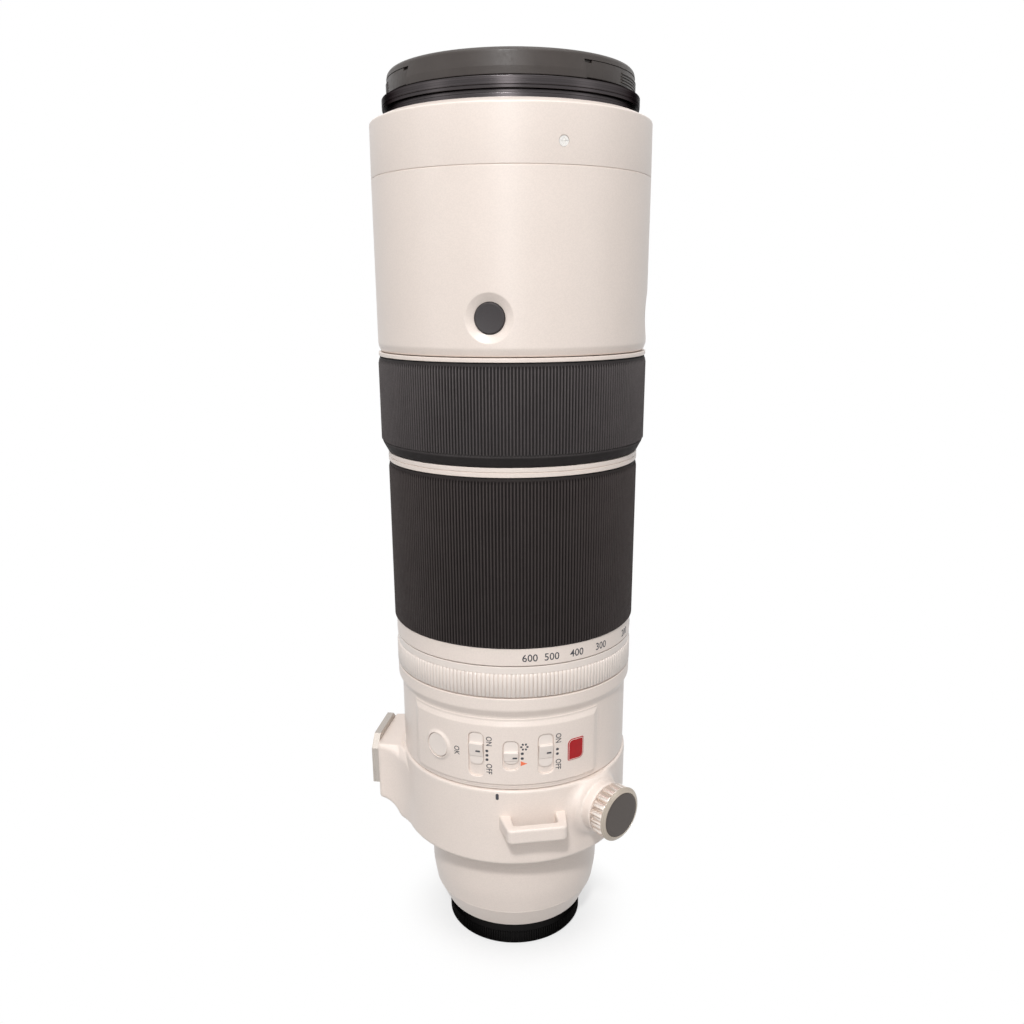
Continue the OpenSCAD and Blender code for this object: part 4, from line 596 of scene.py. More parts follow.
class LENS_OT_finishes(bpy.types.Operator):
    """Mixes the paints, plastics, rubbers, metals and glass, and gives them to the inner nodes"""
    bl_idname = "lens.finishes"
    bl_label = "Finishes"

    def execute(self, context):
        shade = context.scene.lens_colours
        self.white_finishes(shade)
        self.rubbers(shade)
        self.black_finishes(shade)
        self.metals(shade)
        self.knob_finishes(shade)
        self.small_finishes(shade)
        self.inner_finishes(shade)
        self.give_to_nodes()
        return {"FINISHED"}

    def white_finishes(self, shade):
        """Speckled barrel paint and smooth white plastic"""
        pearl = Finish("pearl", shade.pearl, 0.4, Coat_Weight=0.2, Coat_Roughness=0.28)
        pearl.tone(pearl.flecks(0.35), 0.98, 1.015).tone(pearl.grain(14), 0.985, 1.01)
        pearl.gloss(pearl.grain(0.5), 0.34, 0.44).relief(pearl.grain(0.35), 0.004)
        white = Finish("white_plastic", shade.white, 0.35, Coat_Weight=0.2, Coat_Roughness=0.2)
        white.tone(white.grain(5), 0.985, 1.01).relief(white.grain(0.25), 0.003)

    def rubbers(self, shade):
        """Matt rubber of the two grips, with painted shade between the ribs"""
        for name, base, node in (("focus_rubber", shade.focus_rubber, "focus_grip"),
                                 ("zoom_rubber", shade.zoom_rubber, "zoom_grip")):
            rubber = Finish(name, base, 0.66, Specular_IOR_Level=0.08)
            rubber.tone(rubber.grain(0.4, 4), 0.88, 1.12).tone(rubber.grain(9), 0.94, 1.05)
            rubber.gloss(rubber.grain(2), 0.6, 0.74).relief(rubber.grain(0.18, 3), 0.01)
            top = span(node)[0]
            # painted shade: the rubber darkens towards the roots of the ribs
            rubber.paint_groove_shade(top - 0.8 * length("rib_depth"), top - 0.1, 0.3)

    def black_finishes(self, shade):
        """Cap plastic, a darker copy of it as painted shade for the low rear cap, and turned black
        metal
        """
        for name, base, metal in (("cap_plastic", shade.cap, 0.0),
                                  ("rear_cap_shaded_plastic", shade.rear_cap, 1.0)):
            cap = Finish(name, base, 0.42, metal, Specular_IOR_Level=0.3)
            cap.shader.inputs["Specular Tint"].default_value = (1 - 0.9 * metal,) * 3 + (1,)
            cap.tone(cap.grain(6), 0.94, 1.05).gloss(cap.grain(1.2), 0.36, 0.48)
            cap.relief(cap.grain(0.16, 3), 0.005)
        black = Finish("black_metal", shade.black, 0.32, 1.0)
        black.shader.inputs["Specular Tint"].default_value = (0.25, 0.25, 0.25, 1)
        black.tone(black.rings(0.25), 0.8, 1.25).gloss(black.rings(0.2), 0.2, 0.32)
        black.relief(black.rings(0.12), 0.002)

    def metals(self, shade):
        """Turned mount metal, brushed foot plate and screws"""
        bright = Finish("bright_metal", shade.silver, 0.22, 1.0)
        bright.tone(bright.rings(0.3), 0.93, 1.05).gloss(bright.rings(0.15), 0.16, 0.3)
        plate = Finish("brushed_plate", tint(188, 180, 172), 0.34, 0.6)
        brushed = plate.grain(0.12, 2, (1, 1, 0.02))
        plate.tone(brushed, 0.9, 1.06).gloss(brushed, 0.24, 0.42).relief(brushed, 0.002)
        screw = Finish("screw_metal", tint(235, 232, 228), 0.34, 0.6)
        screw.tone(screw.grain(0.5), 0.92, 1.04).gloss(screw.grain(0.2), 0.26, 0.42)

    def knob_finishes(self, shade):
        """The lock knob's metal, rim and face, with lines round the knob's own axis"""
        low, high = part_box("lock_knob")
        knob_at = ((low.x + high.x) / 2, (low.y + high.y) / 2, (low.z + high.z) / 2)
        knob_axis = (knob_at, (math.pi / 2, 0, turn_of("lock")))
        knob = Finish("knob_metal", tint(238, 228, 220), 0.26, 1.0)
        knob.tone(knob.rings(0.2, knob_axis), 0.92, 1.04)
        knob.gloss(knob.rings(0.12, knob_axis), 0.2, 0.32)
        rim = Finish("knob_rim", tint(186, 174, 160), 0.34, 0.25)
        rim.tone(rim.rings(0.2, knob_axis), 0.9, 1.05).gloss(rim.rings(0.12, knob_axis), 0.2, 0.34)
        face = Finish("knob_face", shade.knob_face, 0.42, 0.2, Specular_IOR_Level=0.3)
        face.tone(face.rings(0.16, knob_axis), 0.9, 1.1)
        face.gloss(face.grain(0.3), 0.34, 0.46).relief(face.rings(0.12, knob_axis), 0.002)

    def small_finishes(self, shade):
        """Hold buttons, badge and inks"""
        button = Finish("button_grey", shade.button, 0.5, Specular_IOR_Level=0.3)
        button.tone(button.grain(0.3, 3), 0.92, 1.08).relief(button.grain(0.15, 3), 0.005)
        red = Finish("badge_red", shade.red, 0.3, Specular_IOR_Level=0.3)
        red.tone(red.grain(1.5), 0.93, 1.05)
        ink = Finish("ink", shade.ink, 0.5)
        ink.tone(ink.grain(0.2), 0.9, 1.1)
        pale = Finish("pale_ink", tint(236, 214, 206), 0.45)
        pale.tone(pale.grain(0.2), 0.96, 1.03)
        accent = Finish("accent_ink", shade.accent, 0.45)
        accent.tone(accent.grain(0.2), 0.94, 1.05)

    def inner_finishes(self, shade):
        """Coated glass, circuit board, iris blades and contacts"""
        clear = Finish("lens_glass", tint(226, 236, 240), 0.02, Transmission_Weight=1.0,
                       IOR=1.6, Coat_Weight=1.0, Coat_Roughness=0.02)
        clear.shader.inputs["Coat Tint"].default_value = (*tint(150, 190, 160), 1)
        clear.tone(clear.grain(30), 0.985, 1.0)
        board = Finish("board_green", tint(28, 84, 56), 0.35)
        board.tone(board.grain(1.4, 0, (1, 0.2, 1)), 0.75, 1.2).relief(board.grain(0.6), 0.01)
        blade = Finish("blade_metal", tint(46, 46, 48), 0.45, 0.6)
        blade.tone(blade.grain(0.3, 2, (1, 0.1, 1)), 0.85, 1.1)
        self.brass_pins(Finish("contact_block", shade.cap, 0.45))

    def brass_pins(self, block):
        """Turns the pins that stand out of the contact block to brass"""
        block_rise = 0.4 * MM
        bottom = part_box("contact_block")[0].z
        height = add_node(block.tree, "ShaderNodeSeparateXYZ", {0: block.place}).outputs[2]
        pin = add_node(block.tree, "ShaderNodeMath", {0: height, 1: bottom + block_rise},
                       operation="LESS_THAN").outputs[0]
        block.tone(block.grain(0.6), 0.92, 1.06)
        brass = add_node(block.tree, "ShaderNodeMix", {0: pin, 6: block.base,
                                                       7: (*tint(212, 170, 92), 1)},
                         data_type="RGBA")
        block.tree.links.new(brass.outputs[2], block.shader.inputs["Base Color"])
        block.tree.links.new(pin, block.shader.inputs["Metallic"])

    def give_to_nodes(self):
        """Gives every node of the frame its finish, by the slot that the record names"""
        by_slot = {"pearl_white": "pearl", "white_plastic": "white_plastic",
                   "cap_black": "cap_plastic", "black_metal": "black_metal",
                   "grip_rubber": "zoom_rubber", "mount_metal": "bright_metal",
                   "plate_metal": "brushed_plate", "screw_metal": "screw_metal",
                   "knob_metal": "knob_metal", "knob_face": "knob_face",
                   "glass": "lens_glass", "board": "board_green",
                   "badge_red": "badge_red", "blade_metal": "blade_metal"}
        by_node = {"focus_grip": "focus_rubber", "rear_cap": "rear_cap_shaded_plastic",
                   "contact_block": "contact_block"}
        for name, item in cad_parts.items():
            for holder in item.material_slots:
                slot = holder.material.name.split(".")[0]
                holder.material = FINISHES[by_node.get(name, by_slot[slot])]


class LENS_OT_rear_cap(bpy.types.Operator):
    """Makes the ribbed rear cap with its three claws"""
    bl_idname = "lens.rear_cap"
    bl_label = "Rear cap"

    def execute(self, context):
        r, low, high = span("rear_cap")
        wall, floor, rib_depth = 1.6, 1.6, 0.45
        band_low, band_high = low + 0.9, high - 4.4
        core = r - rib_depth
        cup = turned("rear_cap_cup", [
            (0, low, 0), (core - 0.7, low, 0.5), (core, low + 0.7, 0.4), (core, band_high, 0),
            (core, band_high + 0.3, 0.1), (r, band_high + 0.5, 0.2), (r, high, 0.3),
            (r - wall, high, 0.25), (r - wall, floor, 0), (0, floor, 0)], "rear_cap_shaded_plastic")
        one = rib([(band_low, 0.28, 0.1), (band_low + 0.5, 0.28, 1),
                   (band_high - 0.1, 0.28, 1), (band_high + 0.3, 0.24, 0.9)], rib_depth)
        cup = ribbed(even_shade(cup), one, sizes().cap_ribs, core, "rear_cap_shaded_plastic")
        fix(cup, "rear_cap", "cap_black", "rear_cap")
        claw_low, claw_t, claw_in, half = 7.0, 1.6, 22.2, math.radians(20)
        for i in range(3):
            middle = TURN / 3 * i
            claw = turned("rear_cap_claw_%d" % (i + 1), [
                (claw_in, claw_low, 0.2), (r - wall + 0.05, claw_low, 0),
                (r - wall + 0.05, claw_low + claw_t, 0), (claw_in, claw_low + claw_t, 0.2)],
                "rear_cap_shaded_plastic", arc=(middle - half, middle + half))
            fix(claw, "rear_cap", "cap_black")
        return {"FINISHED"}


class LENS_OT_rear_cover(bpy.types.Operator):
    """Makes the rear cover with its tapered band"""
    bl_idname = "lens.rear_cover"
    bl_label = "Rear cover"

    def execute(self, context):
        r, low, high = span("rear_cover")
        band, neck, spigot, bore = 20.0, 42.4, 34.46, 33.0
        in_low, end_r, shoulder_r = 26.6, 29.6, 34.0
        cover = turned("rear_cover_shell", [
            (in_low, low, 0.2), (end_r, low, 0.4), (shoulder_r - 0.1, band - 0.15, 0.15),
            (shoulder_r - 0.25, band, 0.05), (shoulder_r, band + 0.15, 0.1),
            (r, band + 8, 3), (r, neck - 0.1, 0.3),
            (spigot, neck - 0.05, 0), (spigot, high, 0.2), (bore, high, 0), (bore, 30, 0),
            (in_low, 14, 0)], "pearl")
        fix(even_shade(cover), "barrel", "pearl_white", "rear_cover")
        return {"FINISHED"}


class LENS_OT_rear_barrel(bpy.types.Operator):
    """Makes the rear barrel: lower tube, neck, switch housing and wide top band"""
    bl_idname = "lens.rear_barrel"
    bl_label = "Rear barrel"

    def execute(self, context):
        r, low, high = span("rear_barrel")
        tube_r, tube_in, neck_r, neck_in = 37.1, 34.5, 42.0, 39.8
        floor, body, cone, band = 53.4, 82.9, 112.9, 115.7
        body_r, body_in = 45.6, 43.4
        barrel = turned("rear_barrel_shell", [
            (tube_in, low, 0.2), (tube_r, low, 0.4), (tube_r, floor, 0.3), (neck_r, floor, 0.4),
            (neck_r, body, 0.2), (body_r, body, 0.4), (body_r, cone, 0.5), (r, band, 0.6),
            (r, high - 0.15, 0.35), (r - 1.2, high, 0.2), (body_in, high, 0),
            (body_in, body + 2.5, 0), (neck_in, body + 2.5, 0), (neck_in, floor + 2.2, 0),
            (tube_in, floor + 2.2, 0)], "pearl")
        fix(even_shade(barrel), "barrel", "pearl_white", "rear_barrel")
        return {"FINISHED"}


PANEL_R = 46.5
COLLAR_R = 46.4
HOUSING_R = 45.6
SWITCH_Z = 97.3
Slider = namedtuple("Slider", "node turn middle_z slot long tick_u thumb_z body")
# turn is in degrees from the side, slot and long are lengths along the axis, tick_u is the
# tick's place across, and thumb_z the height of the thumb piece above the slider's middle
SLIDERS = (Slider("focus_mode_switch", -9.3, 97.0, 18.2, 13.0, 0.85, -0.4, "mode_switch"),
           Slider("preset_switch", 7.2, 97.3, 12.0, 9.2, 1.45, -1.5, "preset"),
           Slider("range_switch", 23.6, 97.3, 16.4, 13.2, 1.0, -0.4, "range"))
SET_TURN = -30.0
SLOT_W = 6.2


def along(degrees):
    """Distance along the panel from the switch side, for a turn in degrees"""
    return math.radians(degrees) * PANEL_R


class LENS_OT_control_panel(bpy.types.Operator):
    """Makes the bent switch panel with its bevel, slots and raised ring"""
    bl_idname = "lens.control_panel"
    bl_label = "Control panel"

    def execute(self, context):
        left, right = along(-49.2), along(54.1)
        low, high = (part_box("control_panel")[i].z / MM for i in (0, 1))
        middle_u, middle_z = (left + right) / 2, (low + high) / 2
        half_w, half_h = (right - left) / 2, (high - low) / 2
        face, step_t, step, slot_floor, slot_corner = 0.9, 0.16, 0.9, 0.06, 2.3
        top_corner, low_corner, top_bevel, side_bevel, low_bevel = 1.8, 4.2, 1.9, 2.6, 0.6
        set_r, ring_r, ring_w, ring_rise, ring_lean = 4.9, 5.6, 0.75, 0.8, 0.6

        def shape(u, z, h):
            corner = np.where(z > 0, top_corner, low_corner)
            outer = rounded_box(u, z, half_w, half_h, corner)
            inner = outer + step

            def bevel(reach, width):
                lean = (face - step_t) / width
                return (h - step_t + reach * lean) / math.hypot(1, lean)

            slopes = np.maximum(bevel(z - half_h + step, top_bevel), bevel(inner, low_bevel))
            slopes = np.maximum(slopes, bevel(np.abs(u) - half_w + step, side_bevel))
            plate = keep(keep(inner, slopes, 0.15), h - face, 0.12)
            plate = np.minimum(plate, keep(outer, h - step_t, 0.15))
            from_set = np.hypot(u - along(SET_TURN) + middle_u, z - SWITCH_Z + middle_z)
            ring = rounded_box(from_set - ring_r, h - face, ring_w, ring_rise, 0.35)
            roof = (h - face - ring_rise + (from_set - set_r) * ring_lean) / 1.17
            ring = keep(ring, roof, 0.25)
            plate = join(plate, ring, 0.2)
            plate = cut(plate, np.maximum(from_set - set_r, slot_floor - h), 0.12)
            for slider in SLIDERS:
                box = rounded_box(u - along(slider.turn) + middle_u,
                                  z - slider.middle_z + middle_z,
                                  SLOT_W / 2, slider.slot / 2, slot_corner)
                plate = cut(plate, np.maximum(box, slot_floor - h), 0.22)
            return keep(plate, -0.15 - h, 0.05)

        panel = cast("switch_panel", shape, (-half_w, -half_h, -0.2),
                     (half_w, half_h, face + ring_rise + 0.1), length("panel_step"), "pearl",
                     lambda p: wrap(sizes().side + middle_u / PANEL_R, middle_z, PANEL_R)(
                         p - (0, 0, PANEL_R - HOUSING_R)))
        fix(panel, "barrel", "pearl_white", "control_panel")
        return {"FINISHED"}


def slider_shape(long, half_w, thumb_z):
    """Distance from a slider: a sloping base with a raised thumb piece"""
    base_t, base_lean, thumb_t, thumb_lean, thumb_share = 0.7, 0.05, 1.3, 0.14, 0.21

    def shape(u, z, h):
        ramp = (h - base_t + base_lean * np.maximum(z - thumb_z, 0)) / 1.01
        base = keep(rounded_box(u, z, half_w, long / 2, 2.1), ramp, 0.25)
        thumb = rounded_box(u, z - thumb_z, half_w - 0.05, thumb_share * long, 0.35)
        slope = (h - thumb_t - thumb_lean * (z - thumb_z)) / 1.01
        return keep(join(base, keep(thumb, slope, 0.3), 0.12), 0.14 - h, 0.05)

    return shape


class LENS_OT_switches(bpy.types.Operator):
    """Makes the three sliders and the set button"""
    bl_idname = "lens.switches"
    bl_label = "Switches"

    def execute(self, context):
        half_w, lowest, highest, step, tick_r = SLOT_W / 2 - 0.35, 0.1, 1.9, 0.16, HOUSING_R + 1.36
        for node, turn, middle_z, slot, long, tick_u, thumb_z, body in SLIDERS:
            slider_z = middle_z + (slot - long) / 2 - 0.2
            turn_at = sizes().side + math.radians(turn)
            slider = cast(node + "_slider", slider_shape(long, half_w, thumb_z),
                          (-half_w, -long / 2, lowest), (half_w, long / 2, highest), step,
                          "white_plastic", wrap(turn_at, slider_z, HOUSING_R))
            fix(slider, body, "white_plastic", node)
            mark = (spot(0.9, 0.32, 0.2), turn_at + tick_u / PANEL_R, slider_z + thumb_z - 0.35, 0)
            fix(printed(node + "_tick", [mark], tick_r, "ink"), body, "white_plastic")
        set_r, top = 4.7, PANEL_R + 0.3
        button = turned("set_button_disc", [
            (0, top - 0.6, 0), (set_r, top - 0.6, 0), (set_r, top, 0.25), (set_r - 1, top, 0),
            (0, top - 0.12, 0)], "white_plastic")
        button.data.transform(outward(sizes().side + math.radians(SET_TURN), SWITCH_Z))
        fix(button, "set_button", "white_plastic", "set_button")
        return {"FINISHED"}


class LENS_OT_badge(bpy.types.Operator):
    """Makes the plain red badge with its pale border"""
    bl_idname = "lens.badge"
    bl_label = "Badge"

    def execute(self, context):
        half_w, half_h, thick, border, line = 3.5, 4.4, 0.24, 0.4, 0.1
        turn_at = sizes().side + math.radians(38.8)
        place = wrap(turn_at, SWITCH_Z, PANEL_R)

        def outline(u, z):
            return rounded_box(u, z, half_w, half_h, np.where(u * z > 0, 0.5, 2.2))

        def plate(u, z, h):
            return keep(outline(u, z), np.abs(h - 0.08) - thick / 2 - 0.04, 0.15)

        def rim(u, z, h):
            return np.maximum(np.abs(outline(u, z) + border) - line, np.abs(h - thick) - 0.03)

        badge = cast("badge_plate", plate, (-half_w, -half_h, -0.1), (half_w, half_h, 0.3),
                     0.14, "badge_red", place)
        fix(badge, "barrel", "badge_red", "panel_badge")
        line = cast("badge_border", rim, (-half_w, -half_h, thick - 0.1),
                    (half_w, half_h, thick + 0.1), 0.06, "pale_ink", place)
        fix(line, "barrel", "badge_red")
        return {"FINISHED"}


class LENS_OT_marks(bpy.types.Operator):
    """Prints the zoom scale, the index marks and the small signs on the panel"""
    bl_idname = "lens.marks"
    bl_label = "Printed marks"

    def execute(self, context):
        scale_r, scale_z = span("zoom_ring")[0], 136.4
        scale = ((600, 7.25), (500, 17.25), (400, 29.7), (300, 44.1), (200, 66.2), (150, 81.7))
        numbers = [(letters(str(value), 2.75, 1.0), math.radians(turn), scale_z, 0)
                   for value, turn in scale]
        fix(printed("zoom_scale", numbers, scale_r, "ink"), "zoom", "pearl_white")
        index = [(spot(0.25, 1.3, 0.2), turn_of("top"), 131.6, 0)]
        fix(printed("scale_index", index, span("aperture_ring")[0] - 0.3, "ink"), "aperture",
            "pearl_white")
        index = [(spot(0.6, 1.3, 0.55), turn, 80.0, 0)
                 for turn in (math.radians(-8), turn_of("back"), turn_of("top"))]
        fix(printed("collar_index", index, COLLAR_R, "ink"), "collar", "pearl_white")
        self.panel_signs()
        return {"FINISHED"}

    def panel_signs(self):
        """Plain words, dots and a wedge beside the switches"""
        down = -math.pi / 2

        def at(degrees, offset):
            return sizes().side + math.radians(degrees) + offset / PANEL_R

        mode, preset, focus = (slider.turn for slider in SLIDERS)
        signs = [(letters("ON", 2.2), at(mode, 5.0), 103.0, down),
                 (letters("OFF", 2.2), at(mode, 5.0), 91.6, down),
                 (letters("ON", 2.2), at(focus, 4.8), 103.2, down),
                 (letters("OFF", 2.2), at(focus, 4.8), 92.4, down),
                 (letters("OK", 2.2), at(SET_TURN, 8.7), SWITCH_Z, down)]
        dots = [(mode, 4.3, z) for z in (99.0, 97.2, 95.4)]
        dots += [(focus, 4.5, z) for z in (98.7, 96.8)]
        dots += [(preset, 4.2, z) for z in (98.3, 96.3)]
        for turn, offset, z in dots:
            signs.append((spot(0.55, 0.5, 0.35), at(turn, offset), z, 0))
        wreath_r, wreath_dots = 1.15, 6
        for i in range(wreath_dots):
            a = TURN * i / wreath_dots
            signs.append((spot(0.42, 0.36, 0.25), at(preset, 5.0 + wreath_r * math.cos(a)),
                          101.0 + wreath_r * math.sin(a), a))
        fix(printed("panel_signs", signs, PANEL_R, "ink"), "barrel", "pearl_white")
        half = length("ink_height") / 2
        corners = [(-1.0, -1.2), (1.0, -1.2), (0.1, 1.35)]
        wedge = (np.array([(x, z, h) for h in (-half, half) for x, z in corners]),
                 [(2, 1, 0), (3, 4, 5), (0, 1, 4, 3), (1, 2, 5, 4), (2, 0, 3, 5)])
        fix(printed("panel_wedge", [(wedge, at(preset, 4.8), 94.2, down)], PANEL_R,
                    "accent_ink"), "barrel", "pearl_white")


class LENS_OT_tripod_collar(bpy.types.Operator):
    """Casts the tripod collar: ring, lower lip, arm with its foot block, and knob boss"""
    bl_idname = "lens.tripod_collar"
    bl_label = "Tripod collar"

    def execute(self, context):
        low, high, shoulder = 50.6, 82.6, 0.8
        bore, lip_r, lip_t = 43.65, 37.4, 2.5
        reach, foot_half, foot_top, arc_r = 55.3, 16.0, 86.1, 11.6
        foot_low, root_fillet, rise_cos, rise_sin, chamfer_w = 58.1, 10.5, 0.503, 0.864, 4.5
        boss_r, boss_reach, swell_w, swell_drop, swell_fillet = 10.0, 52.6, 1.8, 4.0, 4
        screw_r, pad_r, pad_reach, inner = 3.1, 4.1, 46.3, 20
        foot, lock = turn_of("foot"), turn_of("lock")

        def shape(x, y, z):
            rho = np.hypot(x, y)
            ring = rounded_box(rho, z - (low + high) / 2, COLLAR_R, (high - low) / 2, 1.0)
            across = x * math.cos(foot) + y * math.sin(foot)
            out = x * math.sin(foot) - y * math.cos(foot)
            block = rounded_box(across, out - reach / 2, foot_half, reach / 2, 1.2)
            plan = join(rho - COLLAR_R, block, root_fillet)
            rise = (z - high + shoulder) * rise_cos - (rho - COLLAR_R - 0.3) * rise_sin
            roof = join(z - high + shoulder, keep(z - foot_top, rise, 1.6), 1.5)
            chamfer = ((np.abs(across) + z - foot_half - foot_top + chamfer_w) / math.sqrt(2)
                       - np.maximum(COLLAR_R + 2.5 - rho, 0))
            arm = keep(keep(keep(plan, roof, 1.4), chamfer, 0.8), low - z, 1.6)
            hollow = np.hypot(out - reach - 1.7, z - foot_low + arc_r) - arc_r
            arm = cut(arm, hollow, 1.6)
            beside = x * math.cos(lock) + y * math.sin(lock)
            away = x * math.sin(lock) - y * math.cos(lock)
            from_knob = np.hypot(beside, z - KNOB_Z)
            boss = keep(keep(from_knob - boss_r, away - boss_reach, 0.5), 30 - away, 1)
            swell = keep(from_knob - boss_r - swell_w, away - boss_reach + swell_drop, 2.5)
            swell = keep(keep(swell, 30 - away, 1), z - high + 0.6, 0.6)
            body = join(join(np.minimum(ring, arm), swell, swell_fillet), boss, 0.4)
            body = np.maximum(body, z - high)
            bore_hole = np.minimum(np.maximum(rho - bore, low + lip_t - z), rho - lip_r)
            body = cut(body, bore_hole, 0.6)
            screw = np.maximum(from_knob - screw_r, inner - away)
            pad = np.maximum(np.maximum(from_knob - pad_r, away - pad_reach), inner - away)
            return cut(body, np.minimum(screw, pad), 0.3)

        box_low, box_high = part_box("tripod_collar")
        collar = cast("collar_casting", shape, [c / MM for c in box_low],
                      [c / MM for c in box_high], length("cast_step"), "pearl")
        fix(collar, "collar", "pearl_white", "tripod_collar")
        return {"FINISHED"}


class LENS_OT_strap_lugs(bpy.types.Operator):
    """Casts the two strap lugs on the collar"""
    bl_idname = "lens.strap_lugs"
    bl_label = "Strap lugs"

    def execute(self, context):
        base, face, half_face, half_root = 43.5, 56.2, 11.2, 13.2
        bar, window_half, mid_z, half_h = 3.8, 8.5, 69.05, 2.95
        lean = (half_root - half_face) / (face - base)

        def shape(across, out, z):
            side = (np.abs(across) - half_root + lean * (out - base)) / math.hypot(1, lean)
            body = keep(side, out - face, 2.2)
            window = keep(np.abs(across) - window_half, out - face + bar, 1.4)
            loop = keep(cut(body, window, 0.4), np.abs(z) - half_h, 1.0)
            return np.maximum(loop, COLLAR_R - 0.25 - np.hypot(across, out))

        for count, place in enumerate(("lug", "far_lug"), 1):
            lug = cast("strap_lug_%d" % count, shape, (-half_root, 42.5, -half_h),
                       (half_root, face, half_h), 0.3, "pearl", upright(turn_of(place), mid_z))
            fix(lug, "collar", "pearl_white", *(["strap_lugs"] if place == "lug" else []))
        return {"FINISHED"}


class LENS_OT_lock_knob(bpy.types.Operator):
    """Turns the ribbed lock knob, its screw and its dark face"""
    bl_idname = "lens.lock_knob"
    bl_label = "Lock knob"

    def execute(self, context):
        reach = 60.3
        base = reach - 7.2
        tip, screw_r, core, rim = 44.2, 2.9, 9.3, 10.8
        grip_end, face_r, sink, groove = base + 5.9, 8.8, 0.4, 1.2
        grip_r = rim - 0.25
        turns = np.linspace(0, TURN, sizes().flutes * 14, endpoint=False)

        def fluted(turn, radius, z):
            wave = np.sqrt(np.abs(np.sin(sizes().flutes * turn / 2)))
            return np.where(radius > core, radius - groove * (1 - wave), radius)

        knob = turned("knob_body", [
            (0, tip, 0), (screw_r, tip, 0.4), (screw_r, base, 0), (grip_r - 0.6, base, 0.2),
            (grip_r, base + 0.6, 0.3), (grip_r, grip_end - 0.2, 0.2),
            (grip_r - 0.3, grip_end + 0.1, 0), (0, grip_end + 0.1, 0)],
            "knob_metal", turns=turns, relief=fluted)
        edge = turned("knob_rim", [
            (core - 2, grip_end, 0), (core, grip_end, 0), (rim, grip_end + 0.05, 0.2),
            (rim, reach - 1.1, 0.2), (face_r + 0.2, reach, 0.3),
            (face_r, reach - sink, 0), (core - 2, reach - sink, 0)], "knob_rim")
        face = turned("knob_face_disc", [
            (0, reach - sink, 0), (face_r - 0.05, reach - sink, 0),
            (face_r - 0.05, reach - 0.1, 0.25), (face_r - 1.4, reach, 0.6),
            (0, reach - 0.02, 0)], "knob_face")
        for piece in (knob, edge, face):
            piece.data.transform(outward(turn_of("lock"), KNOB_Z))
        fix(knob, "knob", "knob_metal", "lock_knob")
        fix(even_shade(edge), "knob", "knob_metal")
        fix(face, "knob", "knob_face", "knob_face")
        return {"FINISHED"}


class LENS_OT_aperture_ring(bpy.types.Operator):
    """Turns the aperture ring and sets lobes round it"""
    bl_idname = "lens.aperture_ring"
    bl_label = "Aperture ring"

    def execute(self, context):
        r, low, high = span("aperture_ring")
        bore, depth = RING_BORE, length("lobe_depth")
        core, band = r - depth, low + 9.2
        ring = turned("aperture_ring_body", [
            (bore, low, 0.1), (core, low, 0.2), (core, band, 0), (r - 0.35, band + 0.15, 0.2),
            (r - 0.3, high - 0.1, 0.3), (bore, high, 0.1)], "white_plastic")
        one = rib([(low + 0.1, 0.64, 0.5), (low + 0.4, 0.7, 1), (band - 0.9, 0.7, 1),
                   (band - 0.35, 0.66, 0.75), (band + 0.15, 0.5, 0.3)], depth, crown=0.7)
        ring = ribbed(even_shade(ring), one, sizes().aperture_lobes, core, "white_plastic")
        fix(ring, "aperture", "pearl_white", "aperture_ring")
        return {"FINISHED"}


class LENS_OT_zoom_ring(bpy.types.Operator):
    """Turns the zoom ring with its scale band and its ribbed rubber grip"""
    bl_idname = "lens.zoom_ring"
    bl_label = "Zoom ring"

    def execute(self, context):
        r, low, high = span("zoom_ring")
        grip_r, grip_low, grip_high = span("zoom_grip")
        bore, core = RING_BORE, grip_r - 1.85
        ring = turned("zoom_ring_body", [
            (bore, low, 0.1), (r, low, 0.3), (r, grip_low - 0.1, 0.25), (core, grip_low - 0.05, 0),
            (core, high, 0), (bore, high, 0.1)], "pearl")
        fix(even_shade(ring), "zoom", "pearl_white", "zoom_ring")
        depth = length("rib_depth")
        sleeve = turned("zoom_grip_rubber", [
            (core + 0.04, grip_low, 0), (grip_r - 0.35, grip_low, 0.2),
            (grip_r - depth, grip_low + 0.6, 0), (grip_r - depth, grip_high - 1.8, 0),
            (grip_r - 0.45, grip_high - 1.1, 0.2), (grip_r - 0.5, grip_high, 0.3),
            (core + 0.04, grip_high, 0)], "zoom_rubber")
        one = rib([(grip_low + 0.15, 0.3, 0.4), (grip_low + 0.6, 0.33, 1),
                   (grip_high - 2.6, 0.33, 1), (grip_high - 1.0, 0.2, 0.6)], depth)
        sleeve = ribbed(even_shade(sleeve), one, sizes().zoom_ribs, grip_r - depth, "zoom_rubber")
        fix(sleeve, "zoom", "grip_rubber", "zoom_grip")
        return {"FINISHED"}


